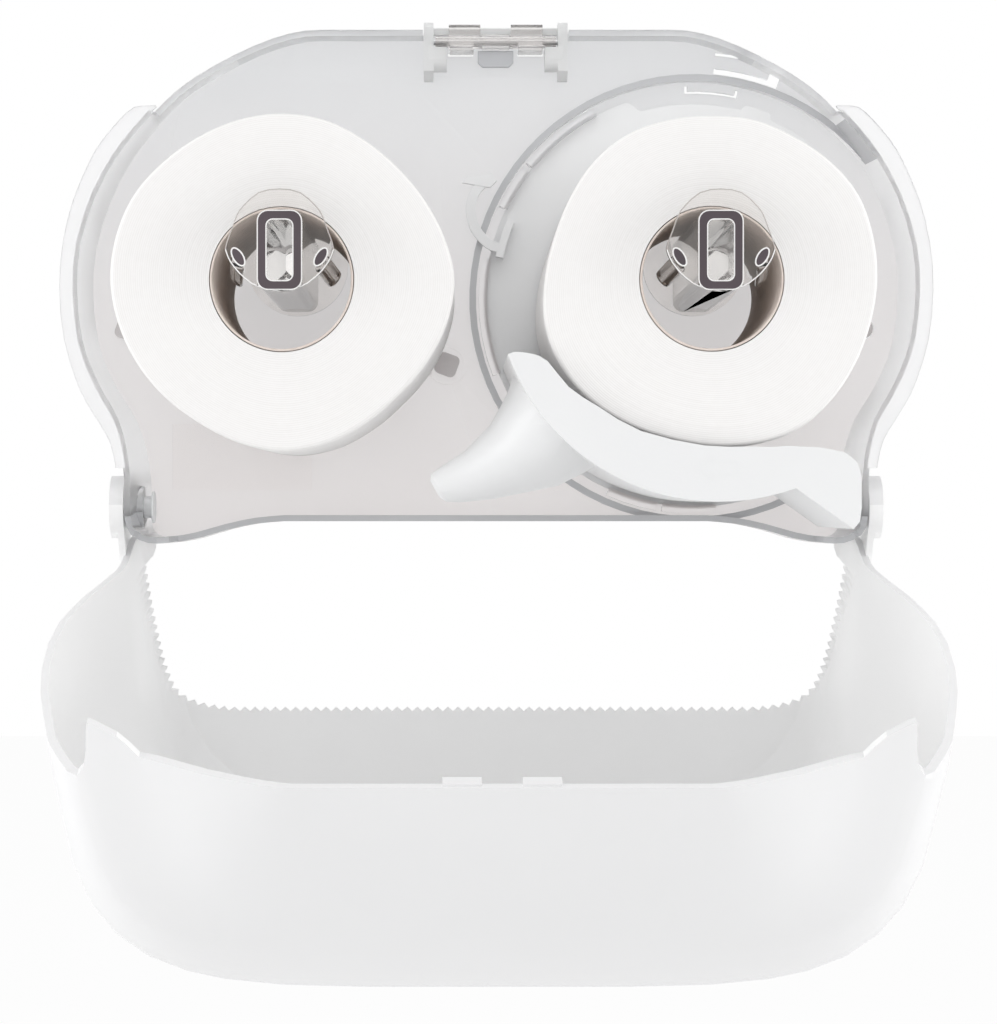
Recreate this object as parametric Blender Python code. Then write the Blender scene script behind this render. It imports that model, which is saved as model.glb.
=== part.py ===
# Double roll toilet paper dispenser, opened for loading.
#
# Metres, +Z up, +X to the right, +Y into the wall. The origin is on the flat back of the rear
# housing, midway between the two roll spindles. "Forward" is the distance in front of that back
# face, so a point lies at y = -forward. The cover is modelled shut about its hinge line and then
# swung down to the angle at which it rests open.

import math

import bmesh
import bpy
from mathutils import Vector

# Clearances and the reach of a cut past the face that it leaves
RUNNING_GAP = 0.0003
CUT_OVERRUN = 0.002
FLATNESS = 0.0000002
FULL_TURN = 360

# Rolls of paper, each on a card core. The right one has swung a little to the left.
ROLL_RADIUS = 0.058
ROLL_LENGTH = 0.099
ROLL_FORWARD = 0.007
ROLL_HALF_GAP = 0.0152
RIGHT_ROLL_SWING = 0.002
ROLL_DROP = 0.0127
CORE_BORE_RADIUS = 0.0233
CORE_WALL = 0.0008

# Rear housing, a tray moulded in smoky clear plastic, and the room in it round the rolls
ROLL_SIDE_ROOM = 0.0231
ROLL_TOP_ROOM = 0.0278
ROLL_BOTTOM_ROOM = 0.0444
PLATE_THICKNESS = 0.0025
HOUSING_WALL = 0.0022
WALL_DRAFT = 0.006
LOW_WALL_REACH_SHARE = 0.79
HIGH_WALL_TOP_SHARE = 0.845
FLANGE_REACH = 0.0043
FLANGE_THICKNESS = 0.0025

# Hinge line of the cover, above the housing's lowest corner and in front of its back face
HINGE_RISE = 0.0131
HINGE_FORWARD = 0.012
HINGE_WALL_SHARE = 0.8756
HINGE_BOSS_RADIUS = 0.0075
HINGE_BOSS_LENGTH = 0.0068
HINGE_PIN_RADIUS = 0.004
HINGE_PIN_HEAD_RADIUS = 0.0058
HINGE_PIN_HEAD_THICKNESS = 0.0015

# Cover, one white shell that turns on the two pins
COVER_TOP_GAP = 0.0008
COVER_WALL = 0.0025
COVER_OPEN_ANGLE = math.radians(119.5)
COVER_SIDE_EDGE = 0.015
COVER_RIM_EDGE = 0.0033
COVER_SIDE_RELIEF_SHARE = 0.02
COVER_SIDE_RELIEF_RUN = 0.025
COVER_BOTTOM_FALL_SHARE = 0.055
EAR_RADIUS = 0.0115
EAR_THICKNESS = 0.0051
NECK_THICKNESS = 0.0024
NECK_HALF_HEIGHT = 0.0095
OPENING_EAR_GAP = 0.0049
OPENING_FRONT_WIDTH = 0.0767
TOOTH_PITCH = 0.00395
TOOTH_HEIGHT = 0.0021
CATCH_NEAR = 0.0065
CATCH_FAR = 0.019
CATCH_FORWARD = 0.0025
CATCH_THICKNESS = 0.002
CATCH_HEIGHT = 0.0028

# Spindles, clear mouldings that carry the rolls
SPINDLE_OVERHANG = 0.009
TUBE_HALF_WIDTH = 0.00755
TUBE_BOTTOM = 0.0171
TUBE_CORNER_RADIUS = 0.0037
TUBE_WALL = 0.0033
TUBE_BORE_CORNER_RADIUS = 0.002
SPINDLE_LIP_THICKNESS = 0.0028
SPINDLE_LIP_HALF_WIDTH = 0.0181
SPINDLE_LIP_TOP = 0.01665
LEG_FRONT_REACH = 0.0141
LEG_FRONT_DROP = 0.0082
LEG_BACK_REACH = 0.017
LEG_BACK_DROP = 0.0111
LEG_LENGTH = 0.034
LEG_HALF_WIDTH = 0.0032
LEG_HALF_THICKNESS = 0.00145
LEG_TILT = 51
SPINDLE_BASE_RADIUS = 0.0186
SPINDLE_BASE_THICKNESS = 0.0025
SPIGOT_RADIUS = 0.006

# Guide ring and rails that the shutter turns in
RING_DROP = 0.0123
RING_WALL = 0.0024
RING_HEIGHT = 0.0055
RING_RAIL_ROOM = 0.0034
RAIL_DISC_GAP = 0.0007
RAIL_THICKNESS = 0.0018
RAIL_HEIGHT = 0.0055
RAIL_LIP_REACH = 0.0013
RAIL_LIP_THICKNESS = 0.0018

# Shutter, a disc behind the right roll and a trough below it
DISC_RIM = 0.002
DISC_NOTCH_DEPTH = 0.0049
DISC_TAB_HEIGHT = 0.0023
DISC_INNER_RADIUS = 0.033
DISC_THICKNESS = 0.0022
FINGER_THICKNESS = 0.0024
FINGER_HALF_WIDTH = 0.0018
TROUGH_ROOM = 0.017
TROUGH_ROLL_GAP = 0.002
TROUGH_WALL = 0.0024
TROUGH_FRONT_THICKNESS = 0.0026
WEDGE_BACK = 0.014
WEDGE_PIN_GAP = 0.0046
WEDGE_FOOT_RISE = 0.003
HORN_FORWARD = 0.083
HORN_ROOT_HALF_DEPTH = 0.0235
HORN_LENGTH = 0.0435

# Latch at the top of the housing
LATCH_HALF_WIDTH = 0.0265
LATCH_BAR_RISE = 0.0023
LATCH_BAR_THICKNESS = 0.0012
CHEEK_THICKNESS = 0.0036
CHEEK_RISE = 0.0035
CHEEK_HEIGHT = 0.021
CHEEK_FORWARD = 0.0114
LUG_WIDTH = 0.0048
LUG_DROP = 0.0057
LUG_HEIGHT = 0.0088
PIVOT_DROP = 0.0032
PIVOT_FORWARD = 0.0072
PIVOT_PIN_RADIUS = 0.0012
LEVER_HALF_WIDTH = 0.0176
LEVER_MIDDLE = 0.0056
LEVER_BARREL_RADIUS = 0.0027
LEVER_STUB_HALF_WIDTH = 0.0222
LEVER_STUB_RADIUS = 0.0021
LEVER_TAB_RISE = 0.0028
LEVER_TAB_THICKNESS = 0.0016
LEVER_ARM_THICKNESS = 0.0016
LEVER_ARM_FORWARD = 0.019
LEVER_ARM_DROP = 0.0066
LEVER_BARB_HEIGHT = 0.002
RELEASE_TAB_HALF_WIDTH = 0.0066
RELEASE_TAB_DROP = 0.0066
RELEASE_TAB_HEIGHT = 0.0061
RELEASE_TAB_FORWARD = 0.0058
RELEASE_TAB_THICKNESS = 0.002

# Mounting holes and the rubber plugs that close them, and the blank label
SCREW_HOLE_RADIUS = 0.004
SCREW_BOSS_RADIUS = 0.0074
SCREW_BOSS_WALL = 0.0011
SCREW_BOSS_HEIGHT = 0.0012
PLUG_HEAD_HALF_WIDTH = 0.0041
PLUG_HEAD_THICKNESS = 0.0013
PLUG_INNER_REACH = 0.018
PLUG_INNER_DROP = 0.0365
PLUG_SIDE_ROOM = 0.0178
PLUG_OUTER_DROP = 0.0231
LABEL_SIDE_ROOM = 0.0346
LABEL_WIDTH = 0.0516
LABEL_FOOT_ROOM = 0.0194
LABEL_HEIGHT = 0.0245
LABEL_THICKNESS = 0.0003

# Sizes that follow from those above: the housing goes round the rolls
SPINDLE_REACH = ROLL_RADIUS + ROLL_HALF_GAP
BODY_HALF_WIDTH = SPINDLE_REACH + ROLL_RADIUS + ROLL_SIDE_ROOM
BODY_TOP = ROLL_RADIUS + ROLL_TOP_ROOM
BODY_BOTTOM = ROLL_RADIUS + ROLL_BOTTOM_ROOM
BODY_HEIGHT = BODY_TOP + BODY_BOTTOM
FLANGE_HALF_WIDTH = BODY_HALF_WIDTH + FLANGE_REACH
HINGE_DROP = BODY_BOTTOM - HINGE_RISE
HINGE_SEAT = HINGE_WALL_SHARE * BODY_HALF_WIDTH - WALL_DRAFT
PIN_START = HINGE_SEAT - HOUSING_WALL - HINGE_PIN_HEAD_THICKNESS
SIDE_DEPTH = HINGE_FORWARD + COVER_SIDE_EDGE - RUNNING_GAP
TOP_DEPTH = HINGE_FORWARD + COVER_RIM_EDGE - RUNNING_GAP
BOTTOM_DEPTH = HINGE_FORWARD - RUNNING_GAP
COVER_RADIUS = HINGE_DROP + BODY_TOP - COVER_TOP_GAP
EAR_INNER = HINGE_SEAT + HINGE_BOSS_LENGTH
OPENING_HALF_WIDTH = EAR_INNER - OPENING_EAR_GAP
OPENING_REACH = COVER_RADIUS - OPENING_FRONT_WIDTH
CORE_RADIUS = CORE_BORE_RADIUS + CORE_WALL
RIGHT_ROLL_DROP = math.sqrt(ROLL_DROP**2 - RIGHT_ROLL_SWING**2)
TUBE_CROWN = TUBE_HALF_WIDTH - TUBE_CORNER_RADIUS + RIGHT_ROLL_SWING
TUBE_ROOM = CORE_BORE_RADIUS - RUNNING_GAP - TUBE_CORNER_RADIUS
TUBE_TOP = TUBE_CORNER_RADIUS + math.sqrt(TUBE_ROOM**2 - TUBE_CROWN**2) - RIGHT_ROLL_DROP
ROLL_FRONT = ROLL_FORWARD + ROLL_LENGTH
SPINDLE_LENGTH = ROLL_FRONT + SPINDLE_OVERHANG
TROUGH_RADIUS = ROLL_RADIUS + TROUGH_ROOM
HORN_TIP_REACH = TROUGH_RADIUS + HORN_LENGTH
DISC_RADIUS = TROUGH_RADIUS + DISC_RIM
DISC_NOTCH_RADIUS = DISC_RADIUS - DISC_NOTCH_DEPTH
DISC_TAB_RADIUS = DISC_NOTCH_RADIUS + DISC_TAB_HEIGHT
RAIL_INNER = DISC_RADIUS + RAIL_DISC_GAP
RING_RADIUS = RAIL_INNER + RAIL_THICKNESS + RING_RAIL_ROOM
RING_CENTRE = Vector((SPINDLE_REACH, 0, -RING_DROP))
DISC_FORWARD = PLATE_THICKNESS + 2 * RUNNING_GAP
DISC_FRONT = DISC_FORWARD + DISC_THICKNESS
TROUGH_BACK = DISC_FRONT + RUNNING_GAP
LIP_BACK = ROLL_FRONT + TROUGH_ROLL_GAP
TROUGH_FRONT = LIP_BACK + TROUGH_FRONT_THICKNESS
WEDGE_REACH = PIN_START - WEDGE_PIN_GAP
WEDGE_FOOT = BODY_BOTTOM - WEDGE_FOOT_RISE
CHEEK_TOP = BODY_TOP + CHEEK_RISE
CHEEK_BOTTOM = CHEEK_TOP - CHEEK_HEIGHT
LUG_TOP = BODY_TOP - LUG_DROP
LUG_BOTTOM = LUG_TOP - LUG_HEIGHT
PIVOT_HEIGHT = BODY_TOP - PIVOT_DROP
LEVER_TAB_TOP = BODY_TOP + LEVER_TAB_RISE
LEVER_ARM_TOP = BODY_TOP - LEVER_ARM_DROP
LEVER_BARB_TOP = LEVER_ARM_TOP + LEVER_BARB_HEIGHT
RELEASE_TAB_TOP = BODY_TOP - RELEASE_TAB_DROP
RELEASE_TAB_BOTTOM = RELEASE_TAB_TOP - RELEASE_TAB_HEIGHT
PLUG_OUTER_REACH = BODY_HALF_WIDTH - PLUG_SIDE_ROOM
LABEL_LEFT = BODY_HALF_WIDTH - LABEL_SIDE_ROOM
LABEL_RIGHT = LABEL_LEFT - LABEL_WIDTH
LABEL_BOTTOM = BODY_BOTTOM - LABEL_FOOT_ROOM
LABEL_TOP = LABEL_BOTTOM - LABEL_HEIGHT

# Half outline of the tray at its front edge, from the middle of the bottom to the middle of the
# top: half width, height above the lowest corner, and how much of the draft it takes at the back
WALL_OUTLINE_SHARES = (
    (0.0, 0.042, 0.0), (0.505, 0.042, 0.0), (0.574, 0.037, 0.1), (0.648, 0.025, 0.3),
    (0.726, 0.0085, 0.6), (0.791, 0.0005, 0.9), (0.836, 0.0, 1.0), (0.8685, 0.017, 1.0),
    (HINGE_WALL_SHARE, 0.051, 1.0), (HINGE_WALL_SHARE, 0.122, 0.95),
    (0.883, 0.179, 0.85), (0.902, 0.235, 0.75), (0.933, 0.28, 0.68), (0.962, 0.328, 0.6),
    (0.988, 0.392, 0.55), (1.0, 0.487, 0.52),
    (0.992, 0.578, 0.5), (0.956, 0.673, 0.45), (0.907, 0.748, 0.35), (0.8555, 0.803, 0.25),
    (0.806, 0.846, 0.12), (0.765, 0.877, 0.0), (0.711, 0.91, 0.0), (0.622, 0.951, 0.0),
    (0.531, 0.983, 0.0), (0.454, 0.9984, 0.0), (0.376, 1.0, 0.0), (0.0, 1.0, 0.0),
)
# Outer edge of the side flange, of its half width and of the body height, bottom to top
FLANGE_OUTLINE_SHARES = (
    (0.8714, 0.145), (0.874, 0.1605), (0.886, 0.199), (0.913, 0.2375), (0.9407, 0.276),
    (0.9615, 0.3145), (0.9887, 0.3916), (1.0, 0.4873), (0.9924, 0.5776), (0.9685, 0.6615),
    (0.9294, 0.7386), (0.9016, 0.7774), (0.8632, 0.8156), (0.829, 0.841), (0.791, 0.844),
)
# Cover section: height above the hinge line as a share of the cover's radius, and half width as
# a share of the flange's, which the shut cover meets
COVER_SECTION_SHARES = (
    (-0.1004, 0.82), (-0.092, 0.839), (-0.0746, 0.8545), (-0.0516, 0.8625), (-0.023, 0.866),
    (0.0, 0.867), (0.0688, 0.8714), (0.1147, 0.8796), (0.172, 0.911), (0.218, 0.9395),
    (0.264, 0.9615), (0.3213, 0.9836), (0.4016, 0.9975), (0.4934, 0.9987), (0.5795, 0.9893),
    (0.6627, 0.971), (0.7143, 0.9578), (0.7458, 0.9496), (0.7946, 0.9262), (0.8474, 0.8947),
    (0.8635, 0.8701), (0.874, 0.836), (0.8835, 0.7945), (0.895, 0.75), (0.9065, 0.7125),
    (0.9294, 0.6589), (0.9524, 0.6053), (0.9753, 0.5359), (0.9897, 0.4855), (0.9983, 0.4414),
)
# How far forward the section reaches below the hinge line, where the front rolls under
COVER_UNDERSIDE_SHARES = {
    -0.1004: 0.85, -0.092: 0.9, -0.0746: 0.952, -0.0516: 0.981, -0.023: 0.9955,
}
# Points of a section, as shares of its depth along the side and of its half width along the front
SIDE_POINT_SHARES = (0.0, 0.2, 0.4, 0.58, 0.72, 0.82, 0.895, 0.945)
FRONT_POINT_SHARES = (0.64, 0.5, 0.3, 0.0)
SIDE_ROUNDNESS = 5
FRONT_ROUNDNESS = 4
# Back edge of the cover round its top corners: half width of the flange, and the side edge
CORNER_EDGE_SHARES = (
    (0.735, 0.22), (0.755, 0.0), (0.78, -0.22), (0.826, -0.433), (0.84, -0.467),
    (0.8436, -0.267), (0.847, 0.267), (0.8544, 0.733), (0.8701, 1.0), (1.3, 1.0),
)
# Spindle lip: half width and height above the spindle's axis, as shares of the lip's own
LIP_DOME_SHARES = (
    (1.0, -0.219), (0.973, -0.072), (0.887, 0.182), (0.788, 0.472), (0.672, 0.654),
    (0.386, 0.925), (0.0, 1.0),
)
LIP_CHIN_SHARES = (
    (1.0, -0.219), (0.948, -0.382), (0.87, -0.525), (0.738, -0.699), (0.59, -0.836),
    (0.419, -0.95), (0.0, -1.05),
)
# Spindle leg: how far back from the lip, as a share of its length, and the share of its section
LEG_END_SHARES = ((1.0, 0.5), (0.985, 0.8), (0.95, 1.0), (0.0, 1.0))
# Radius of each roll every 15 degrees anticlockwise from its right, as shares of its nominal one
LEFT_ROLL_SHARES = (
    1.0, 0.972, 0.945, 0.933, 0.94, 0.958, 0.963, 0.96, 0.958, 0.967, 0.987, 0.993,
    0.993, 0.981, 0.969, 0.96, 0.958, 0.977, 0.995, 0.984, 0.961, 0.95, 0.966, 0.988,
)
RIGHT_ROLL_SHARES = (
    0.96, 0.969, 0.981, 0.968, 0.953, 0.955, 0.947, 0.956, 0.97, 0.963, 0.946, 0.943,
    0.966, 0.998, 1.01, 0.998, 0.975, 0.96, 0.97, 0.99, 1.003, 0.985, 0.966, 0.956,
)
# Toothed edge of the opening below: half width of the opening, and its reach
OPENING_TOOTH_SHARES = (
    (1.0, 0.297), (0.992, 0.451), (0.973, 0.686), (0.956, 0.82), (0.93, 0.916),
    (0.878, 0.969), (0.794, 0.996), (0.687, 1.0), (0.0, 1.0),
)
OPENING_LOBE_SHARES = ((0.9695, -0.6), (0.9695, 0.236), (0.979, 0.271), (0.9985, 0.292))
# Inner edge of the trough's front face: angle about the ring centre, and share of its radius
CRESCENT_EDGE_SHARES = (
    (200, 0.97), (202, 0.905), (206, 0.85), (216, 0.829), (227, 0.788), (243, 0.768),
    (265, 0.752), (280, 0.765), (288, 0.795),
)
TROUGH_START = 200
TROUGH_TURN = 290
# Corner of the wedge at the trough's right end: shares of its reach and of its foot's drop
WEDGE_OUTLINE_SHARES = (
    (0.978, 0.97), (0.995, 0.945), (1.0, 0.9), (1.0, 0.79), (0.988, 0.745),
    (0.955, 0.712), (0.89, 0.696), (0.79, 0.69),
)
# Sections of the horn: shares of the way from its tip to its root, of its root's half width
# and of its root's half depth
HORN_SECTION_SHARES = (
    (0.0, 0.14, 0.11), (0.03, 0.25, 0.19), (0.13, 0.32, 0.25), (0.35, 0.43, 0.42),
    (0.62, 0.6, 0.7), (0.85, 0.82, 0.9),
)
HORN_ROOT_ANGLE = 221
HORN_ROOT_HALF_ANGLE = 17
HORN_TIP_ANGLE = 216.6
HORN_TIP_SINK = 0.0035
# Hooked finger of the disc and its head: radius as shares of the disc's, and angles
FINGER_PATH_SHARES = (
    (0.955, 165.5), (1.02, 165.2), (1.1, 162.4), (1.155, 158), (1.165, 154), (1.15, 151.2),
)
FINGER_HEAD_SHARES = (
    (1.11, 151.6), (1.24, 153.6), (1.235, 152), (1.14, 148.4), (1.1, 149.4),
)
# Rails: first and last angle of each
RAIL_ANGLES = ((118, 141), (142.6, 154.5), (169, 201), (246, 260), (261.4, 276))
# Slots through the plate beside the ring: radius as shares of the ring's, and angles
SLOT_ARC_SHARES = (
    (1.096, 1.112, 71.0, 84.8), (1.013, 1.04, 70.6, 84.8), (1.013, 1.098, 68.4, 71.2),
    (0.9216, 0.934, 77.7, 92.3), (0.9216, 0.958, 91.5, 92.3), (0.9216, 0.958, 77.7, 78.5),
)
# Recess behind the left roll: shares of the body's half width to the left, and of its top
RECESS_OUTLINE_SHARES = (
    (0.655, 0.82), (0.21, 0.82), (0.1335, 0.66), (0.1335, 0.3), (0.162, 0.26),
    (0.162, -0.45), (0.24, -0.6), (0.65, -0.6), (0.72, -0.45), (0.72, 0.72),
)
RECESS_DEPTH = 0.001

MATERIALS = {
    "smoked_plastic": ((0.62, 0.61, 0.63, 1), 0.25, 0.0),
    "white_plastic": ((0.84, 0.84, 0.85, 1), 0.3, 0.0),
    "grey_plastic": ((0.72, 0.73, 0.75, 1), 0.35, 0.0),
    "clear_plastic": ((0.3, 0.25, 0.21, 1), 0.15, 0.0),
    "latch_plastic": ((0.8, 0.82, 0.82, 1), 0.35, 0.0),
    "dark_plastic": ((0.16, 0.16, 0.18, 1), 0.3, 0.0),
    "paper": ((0.93, 0.92, 0.9, 1), 0.95, 0.0),
    "card": ((0.5, 0.36, 0.24, 1), 0.9, 0.0),
    "rubber": ((0.05, 0.05, 0.05, 1), 0.8, 0.0),
    "steel": ((0.6, 0.6, 0.6, 1), 0.3, 1.0),
    "label_film": ((0.75, 0.74, 0.74, 1), 0.4, 0.0),
}


def clear_scene():
    for obj in list(bpy.data.objects):
        bpy.data.objects.remove(obj)


def make_materials():
    made = {}
    for name, (colour, roughness, metallic) in MATERIALS.items():
        material = bpy.data.materials.new(name)
        material.use_nodes = True
        shader = material.node_tree.nodes["Principled BSDF"]
        shader.inputs["Base Color"].default_value = colour
        shader.inputs["Roughness"].default_value = roughness
        shader.inputs["Metallic"].default_value = metallic
        material.diffuse_color = colour
        made[name] = material
    return made


def bends(face):
    """Whether a face's corners are out of one plane, so that a Boolean could fold it either way."""
    start = face.verts[0].co
    return any(abs((vert.co - start).dot(face.normal)) > FLATNESS for vert in face.verts)


def add_object(name, bm, material=None, parent=None):
    bmesh.ops.recalc_face_normals(bm, faces=bm.faces)
    bent = [face for face in bm.faces if bends(face)]
    bmesh.ops.triangulate(bm, faces=bent)
    mesh = bpy.data.meshes.new(name)
    bm.to_mesh(mesh)
    bm.free()
    mesh.shade_smooth()
    mesh.set_sharp_from_angle(angle=math.radians(35))
    obj = bpy.data.objects.new(name, mesh)
    bpy.context.scene.collection.objects.link(obj)
    if material is not None:
        mesh.materials.append(material)
    if parent is not None:
        obj.parent = parent
    return obj


def add_empty(name, place, turn=0.0):
    empty = bpy.data.objects.new(name, None)
    empty.location = place
    empty.rotation_euler = (turn, 0, 0)
    bpy.context.scene.collection.objects.link(empty)
    return empty


def combine(target, name, bm, operation):
    """Cuts the shape in bm from the target, or joins it on, by a Boolean that stays live."""
    helper = add_object(name, bm, parent=target.parent)
    helper.hide_render = True
    helper.display_type = "WIRE"
    modifier = target.modifiers.new(name, "BOOLEAN")
    modifier.operation = operation
    modifier.object = helper
    modifier.solver = "EXACT"
    return helper


def cut(target, name, bm):
    return combine(target, name, bm, "DIFFERENCE")


def join(target, name, bm):
    return combine(target, name, bm, "UNION")


def smooth_through(points, steps):
    """A Catmull-Rom curve through the points, with this many steps between each two."""
    points = [Vector(point) for point in points]
    ends = [points[0] * 2 - points[1]] + points + [points[-1] * 2 - points[-2]]
    curve = []
    for before, start, end, after in zip(ends, ends[1:], ends[2:], ends[3:]):
        for step in range(steps):
            t = step / steps
            curve.append(
                0.5
                * (
                    start * 2
                    + (end - before) * t
                    + (before * 2 - start * 5 + end * 4 - after) * t**2
                    + (start * 3 - before - end * 3 + after) * t**3
                )
            )
    return curve + [points[-1]]


def arc_points(centre_x, centre_z, radius, first, last, steps):
    points = []
    for step in range(steps + 1):
        angle = math.radians(first + (last - first) * step / steps)
        points.append((centre_x + radius * math.cos(angle), centre_z + radius * math.sin(angle)))
    return points


def ring_points(radius, first, last, steps):
    return arc_points(RING_CENTRE.x, RING_CENTRE.z, radius, first, last, steps)


def ring_point(radius, angle):
    return ring_points(radius, angle, angle, 1)[0]


def inset(points, distance):
    """The closed outline moved inwards; the points run anticlockwise seen from the front."""
    moved = []
    for i, point in enumerate(points):
        here = Vector(point)
        before = (here - Vector(points[i - 1])).normalized()
        after = (Vector(points[(i + 1) % len(points)]) - here).normalized()
        along = (before + after).normalized()
        inwards = Vector((-along.y, along.x))
        moved.append(here + inwards * (distance / max(0.5, along.dot(after))))
    return moved


def loft(bm, rings):
    """Closed rings of equal length, skinned one after another and capped at both ends."""
    rows = [[bm.verts.new(point) for point in ring] for ring in rings]
    for row, following in zip(rows, rows[1:]):
        for i in range(len(row)):
            j = (i + 1) % len(row)
            bm.faces.new((row[i], row[j], following[j], following[i]))
    bm.faces.new(rows[0])
    bm.faces.new(rows[-1])
    return bm


def plate(bm, outline, back, front):
    """An outline seen from the front, filled from one forward distance to another."""
    return loft(bm, [[(x, -forward, z) for x, z in outline] for forward in (back, front)])


def upright(bm, outline, low, high):
    """An outline seen from above, as x and forward, filled between two heights."""
    return loft(bm, [[(x, -forward, z) for x, forward in outline] for z in (low, high)])


def sideways(bm, outline, left, right):
    """An outline seen from the side, as forward and height, filled from left to right."""
    return loft(bm, [[(x, -forward, z) for forward, z in outline] for x in (left, right)])


def box(bm, left, right, back, front, low, high):
    return plate(bm, ((left, low), (right, low), (right, high), (left, high)), back, front)


def arc_band(bm, inner, outer, first, last, back, front, steps):
    """A band of a ring about the shutter's centre."""
    outline = ring_points(outer, first, last, steps)
    outline += reversed(ring_points(inner, first, last, steps))
    return plate(bm, outline, back, front)


def round_bar(bm, radius, centre_x, centre_z, back, front, segments):
    outline = arc_points(centre_x, centre_z, radius, 0, FULL_TURN, segments)
    return plate(bm, outline[1:], back, front)


def cross_bar(bm, radius, forward, height, left, right, segments):
    """A round bar that lies along X."""
    outline = arc_points(forward, height, radius, 0, FULL_TURN, segments)
    return sideways(bm, outline[:-1], left, right)


def mirrored(points):
    """Half an outline from the bottom to the top on the right, closed on the left."""
    left = [(-x, z) for x, z in reversed(points[1:-1])]
    return [(x, z) for x, z in points] + left


def body_height(share):
    return share * BODY_HEIGHT - BODY_BOTTOM


def wall_depth(point):
    """How deep the wall is: low along the top and the bottom, and round below the hinge."""
    if point.x < LOW_WALL_REACH_SHARE * BODY_HALF_WIDTH and point.y < 0:
        return BOTTOM_DEPTH
    if point.y > body_height(HIGH_WALL_TOP_SHARE):
        return TOP_DEPTH
    below = max(-HINGE_DROP - point.y, 0)
    reach = math.sqrt((COVER_SIDE_EDGE - RUNNING_GAP) ** 2 - below**2)
    return HINGE_FORWARD + reach


def wall_outline():
    """The tray's right half from bottom to top: x, z, draft at the back, and wall depth."""
    sizes = [
        (x * BODY_HALF_WIDTH, body_height(z), draft * WALL_DRAFT)
        for x, z, draft in WALL_OUTLINE_SHARES
    ]
    curve = [Vector(sizes[0])] + smooth_through(sizes[1:-1], 2) + [Vector(sizes[-1])]
    rows = []
    for point in curve:
        depth = wall_depth(point)
        row = (point.x, point.y, point.z, depth)
        # Where the wall's depth changes much, it steps within a short piece of the outline.
        if rows and abs(rows[-1][3] - depth) > HOUSING_WALL:
            for share, step_depth in ((0.48, rows[-1][3]), (0.52, depth)):
                rows.append(tuple(a + (b - a) * share for a, b in zip(rows[-1][:3], row)))
                rows[-1] += (step_depth,)
        rows.append(row)
    return rows + [(-x, z, draft, depth) for x, z, draft, depth in reversed(rows[1:-1])]


def wall_line(rows, share):
    """The outer outline at a share of the side wall's depth, from the back face."""
    return [(x - math.copysign(draft, x) * (1 - share), z) for x, z, draft, _ in rows]


def flange_outline(side):
    """The flange from its outer edge to the middle of the wall that carries it."""
    outer = smooth_through(
        [(x * FLANGE_HALF_WIDTH, body_height(z)) for x, z in FLANGE_OUTLINE_SHARES], 2
    )
    middle = inset(wall_line(wall_outline(), 1), HOUSING_WALL / 2)
    low = outer[0][1]
    high = outer[-1][1]
    carried = [point for point in middle if point.x > 0 and low < point.y < high]
    carried.sort(key=lambda point: -point.y)
    outline = [(point[0], point[1]) for point in outer]
    outline += [(carried[0].x, high)] + [(p.x, p.y) for p in carried] + [(carried[-1].x, low)]
    return [(side * x, z) for x, z in outline]


def make_housing(materials):
    rows = wall_outline()
    back = wall_line(rows, 0)
    depths = [depth for _, _, _, depth in rows]
    outer = [wall_line([row], depth / SIDE_DEPTH)[0] for row, depth in zip(rows, depths)]
    inner = inset(outer, HOUSING_WALL)
    floor = inset(wall_line(rows, PLATE_THICKNESS / SIDE_DEPTH), HOUSING_WALL)
    tray = loft(
        bmesh.new(),
        [
            [(x, 0, z) for x, z in back],
            [(x, -depth, z) for (x, z), depth in zip(outer, depths)],
            [(x, -depth, z) for (x, z), depth in zip(inner, depths)],
            [(x, -PLATE_THICKNESS, z) for x, z in floor],
        ],
    )
    housing = add_object("rear_housing", tray, materials["smoked_plastic"])
    latch_gap = bmesh.new()
    box(latch_gap, -LATCH_HALF_WIDTH - RUNNING_GAP, LATCH_HALF_WIDTH + RUNNING_GAP,
        PLATE_THICKNESS, TOP_DEPTH + CUT_OVERRUN,
        BODY_TOP - 2 * HOUSING_WALL, BODY_TOP + CUT_OVERRUN)
    cut(housing, "latch_gap", latch_gap)

    flanges = bmesh.new()
    for side in (-1, 1):
        plate(flanges, flange_outline(side), SIDE_DEPTH - FLANGE_THICKNESS, SIDE_DEPTH)
    join(housing, "side_flanges", flanges)

    add_ring(housing, back)
    add_hinge_bosses(housing)
    cut_plate(housing)


def add_ring(housing, back):
    root = PLATE_THICKNESS / 2
    ring = bmesh.new()
    top = PLATE_THICKNESS + RING_HEIGHT
    arc_band(ring, RING_RADIUS - RING_WALL, RING_RADIUS, 30, 325, root, top, 60)
    ring = join(housing, "guide_ring", ring)
    inside = bmesh.new()
    plate(inside, inset(back, HOUSING_WALL / 2), 0, top + CUT_OVERRUN)
    combine(ring, "ring_limit", inside, "INTERSECT")

    rails = bmesh.new()
    rail_top = PLATE_THICKNESS + RAIL_HEIGHT
    for first, last in RAIL_ANGLES:
        steps = max(3, round((last - first) / 5))
        outer = RAIL_INNER + RAIL_THICKNESS
        outline = ring_points(outer, first, last, steps)
        outline += reversed(ring_points(RAIL_INNER, first, last, steps))
        lip = ring_points(outer, first, last, steps)
        lip += reversed(ring_points(RAIL_INNER - RAIL_LIP_REACH, first, last, steps))
        step_height = rail_top - RAIL_LIP_THICKNESS
        rows = [
            [(x, -forward, z) for x, z in shape]
            for shape, forward in (
                (outline, root), (outline, step_height), (lip, step_height), (lip, rail_top)
            )
        ]
        loft(rails, rows)
    join(housing, "shutter_rails", rails)


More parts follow.
